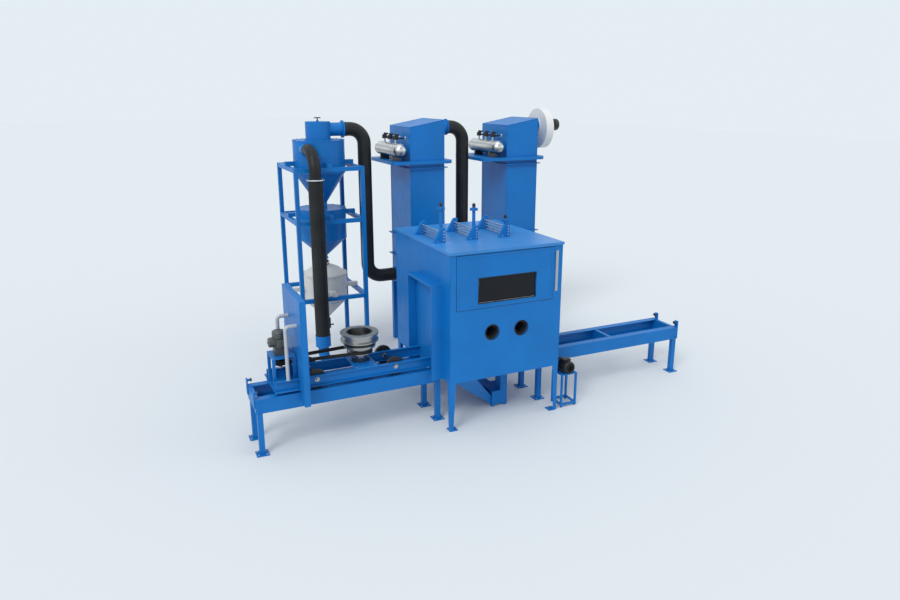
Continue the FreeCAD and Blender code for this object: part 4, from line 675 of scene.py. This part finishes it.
# Cart: welds, bolts, axle nuts, trim of the closing panel and welds of the handles
panel_left, panel_front, panel_back, panel_thick = -2.59, -0.71, 0.21, 0.07
cart_welds = Work()
for y in BEAM_FRONTS:
    for x in (panel_left, panel_left + panel_thick):
        cart_welds.weld([(x, y - 0.001, 0.77), (x, y - 0.001, 0.9)], 0.0035)
for x in (-2.88, -2.6):
    for y in (-0.41, -0.06):
        corners = [(x - 0.018, y - 0.018, 0.769), (x + 0.018, y - 0.018, 0.769),
                   (x + 0.018, y + 0.018, 0.769), (x - 0.018, y + 0.018, 0.769)]
        cart_welds.weld(corners + corners[:1], 0.003)
cart_welds.done("cart_welds", BLUE, "cart")
cart_bolts = Work()
for x in (-1.87, -1.63):
    for y in BEAM_MIDDLES:
        cart_bolts.bolt((x, y, 0.913), Z, 0.009)
for x in (-2.86, -2.62):
    for y in (-0.38, -0.09):
        cart_bolts.bolt((x, y, 1.15), Z, 0.007)
for dx in (-0.05, 0.05):
    for dy in (-0.05, 0.05):
        cart_bolts.bolt((DRIVE_X + dx, DRIVE_Y + dy, 1.245), Z, 0.006)
for x in steps(-2.87, -2.62, 3):
    cart_bolts.bolt((x, 0.13, 0.768), Z, 0.008)
cart_bolts.done("cart_bolts", ZINC, "cart")
for side in ("left", "right"):
    x = joint_place(f"{side}_wheel_spin")[0]
    hub = Work()
    for y in BEAM_FRONTS:
        face = y + CART_FLANGE - CART_PLATE - RUNNING_GAP
        hub.lathe((x, face, AXLE_Z), -Y, [(0, 0), (0.031, 0), (0.031, 0.004), (0, 0.004)], 24)
        hub.lathe((x, face - 0.004, AXLE_Z), -Y,
                  [(0, 0), (0.024, 0), (0.024, 0.014), (0.02, 0.017), (0, 0.017)], 6)
        hub.lathe((x, face - 0.016, AXLE_Z), -Y,
                  [(0, 0), (0.0152, 0), (0.0152, 0.006), (0.012, 0.009), (0, 0.009)], 16)
    hub.done(f"{side}_axle_nuts", ZINC, f"{side}_wheels")
panel = Work()
for x in (panel_left, panel_left + panel_thick):
    panel.weld([(x, panel_front, 0.62), (x, panel_front, 1.89)], 0.003)
for x in (panel_left, panel_left + panel_thick):
    panel.weld([(x, panel_front, 1.9), (x, panel_back, 1.9)], 0.003)
panel.done("panel_welds", BLUE, "cart")
seal = Work()
x, front, back = panel_left + 0.073, panel_front + 0.03, panel_back - 0.03
seal.tube([(x, front, 0.64), (x, front, 1.87), (x, back, 1.87), (x, back, 0.64)], 0.0035, 10)
seal.done("panel_seal", RUBBER, "cart")
handle_welds = Work()
for y in BEAM_MIDDLES:
    handle_welds.weld(circle_points((-2.722, y, 0.901), Z, 0.0235, 32), 0.004)
    handle_welds.weld(circle_points((panel_left - 0.001, y, 1.56), X, 0.0235, 32), 0.004)
handle_welds.done("handle_welds", PIPE, "cart")

# Gear motor: ribs, cowl, terminal box and round side cover. Hub of the drive wheel
gear = motor_dress((DRIVE_X, DRIVE_Y, 1.15), Z, 0.07, 0.115, 0.215, tall=0.01)
gear.lathe((DRIVE_X, DRIVE_Y, 1.383), Z,
           [(0.071, 0), (0.0785, 0), (0.0785, 0.052), (0.07, 0.062), (0.05, 0.066), (0, 0.0665)], 40)
for radius in (0.018, 0.034, 0.05):
    gear.ring((DRIVE_X, DRIVE_Y, 1.4475), Z, radius, 0.005, 0.004, 32, 0.001)
gear.box((-2.8, -0.345, 1.27), (-2.71, -0.297, 1.36), 0.005)
gear.drum((DRIVE_X, -0.33, 1.272), -Z, 0.012, 0.018, 0.002, 14)
gear.lathe((-2.873, DRIVE_Y, 1.31), -X,
           [(0, 0), (0.058, 0), (0.052, 0.01), (0.03, 0.013), (0.014, 0.014), (0.014, 0.02), (0, 0.02)], 36)
gear.bolt_circle((-2.873, DRIVE_Y, 1.31), -X, 0.05, 6, 0.006)
gear.done("gear_motor_ribs", MOTOR, "cart")
drive_hub = Work()
drive_hub.ring((DRIVE_X, DRIVE_Y, 1.089), Z, 0.02, 0.03, 0.012, 32)
drive_hub.done("drive_hub", DARK, "drive_wheel")

# Turntable: dark slewing bearing, waist band, rim bolts, and black discs painted as the shade in the holes of
# the bowl
bearing = Work()
for z, radius in ((0.914, 0.112), (0.938, 0.109)):
    bearing.ring((TABLE_X, TABLE_Y, z), Z, 0.1055, radius - 0.1055, 0.02, 64, 0.002)
bearing.bolt_circle((TABLE_X, TABLE_Y, 0.913), Z, 0.128, 12, 0.006)
bearing.done("slewing_bearing", DARK, "cart")
waist = Work()
waist.ring((TABLE_X, TABLE_Y, 1.139), Z, 0.187, 0.004, 0.032, 96, 0.001)
waist.done("drum_waist", DARK, "turntable")
table = Work()
table.bolt_circle((TABLE_X, TABLE_Y, 1.29), Z, 0.215, 12, 0.0045)
table.done("turntable_bolts", TURNED, "turntable")
hole_shade = Work()
# thin black discs on the bowl, painted shade where its holes are
for k in range(6):
    a = 2 * math.pi * k / 6
    hole_shade.lathe((TABLE_X + 0.066 * math.cos(a), TABLE_Y + 0.066 * math.sin(a), 1.2275), Z,
                [(0, 0), (0.015, 0), (0.015, 0.0015), (0, 0.0015)], 20)
hole_shade.lathe((TABLE_X, TABLE_Y, 1.2275), Z, [(0, 0), (0.022, 0), (0.022, 0.0015), (0, 0.0015)], 24)
hole_shade.done("bowl_holes", BELT, "turntable")


# Camera, lights, world and floor
def aim(thing, place, toward):
    thing.location = place
    thing.rotation_euler = Vector(toward).to_track_quat("-Z", "Y").to_euler()
    bpy.context.scene.collection.objects.link(thing)


camera = bpy.data.cameras.new("camera")
camera.sensor_width = 36
camera.lens = 28.28
camera.shift_y = -0.0141
camera.clip_end = 300
eye = bpy.data.objects.new("camera", camera)
aim(eye, (-4.285, -8.371, 4.177), (0.408, 0.874, -0.264))
bpy.context.scene.camera = eye


def sun(name, toward, strength, spread_angle):
    light = bpy.data.lights.new(name, "SUN")
    light.energy = strength
    light.angle = math.radians(spread_angle)
    aim(bpy.data.objects.new(name, light), (0, 0, 8), toward)


sun("key", (0.62, 0.5, -0.72), 1.35, 25)
sun("top", (0.05, 0.1, -1), 0.4, 50)
sun("side_fill", (-0.85, 0.35, -0.4), 0.25, 40)

BACKDROP = (0.78, 0.85, 0.9)
world = bpy.data.worlds.new("studio")
bpy.context.scene.world = world
world.use_nodes = True
nodes, links = world.node_tree.nodes, world.node_tree.links
shown = nodes.new("ShaderNodeBackground")
shown.inputs["Color"].default_value = (*BACKDROP, 1)
lit = nodes["Background"]
lit.inputs["Color"].default_value = (0.96, 0.98, 1, 1)
lit.inputs["Strength"].default_value = 0.78
rays = nodes.new("ShaderNodeLightPath")


def either(first, second):
    node = nodes.new("ShaderNodeMath")
    node.operation = "MAXIMUM"
    links.new(first, node.inputs[0])
    links.new(second, node.inputs[1])
    return node.outputs["Value"]


sees_backdrop = either(either(rays.outputs["Is Camera Ray"], rays.outputs["Is Transmission Ray"]),
                       rays.outputs["Is Glossy Ray"])
mix = nodes.new("ShaderNodeMixShader")
links.new(sees_backdrop, mix.inputs["Fac"])
links.new(lit.outputs["Background"], mix.inputs[1])
links.new(shown.outputs["Background"], mix.inputs[2])
links.new(mix.outputs["Shader"], nodes["World Output"].inputs["Surface"])

floor_mesh = bpy.data.meshes.new("floor")
floor_mesh.from_pydata([(-60, -40, 0), (60, -40, 0), (60, 120, 0), (-60, 120, 0)], [], [(0, 1, 2, 3)])
floor = bpy.data.objects.new("floor", floor_mesh)
bpy.context.scene.collection.objects.link(floor)
floor_look, _, _ = shader("floor", (0.645, 0.692, 0.722), 0.9, specular=0.1)
floor_mesh.materials.append(floor_look)

bpy.context.scene.view_settings.view_transform = "Standard"
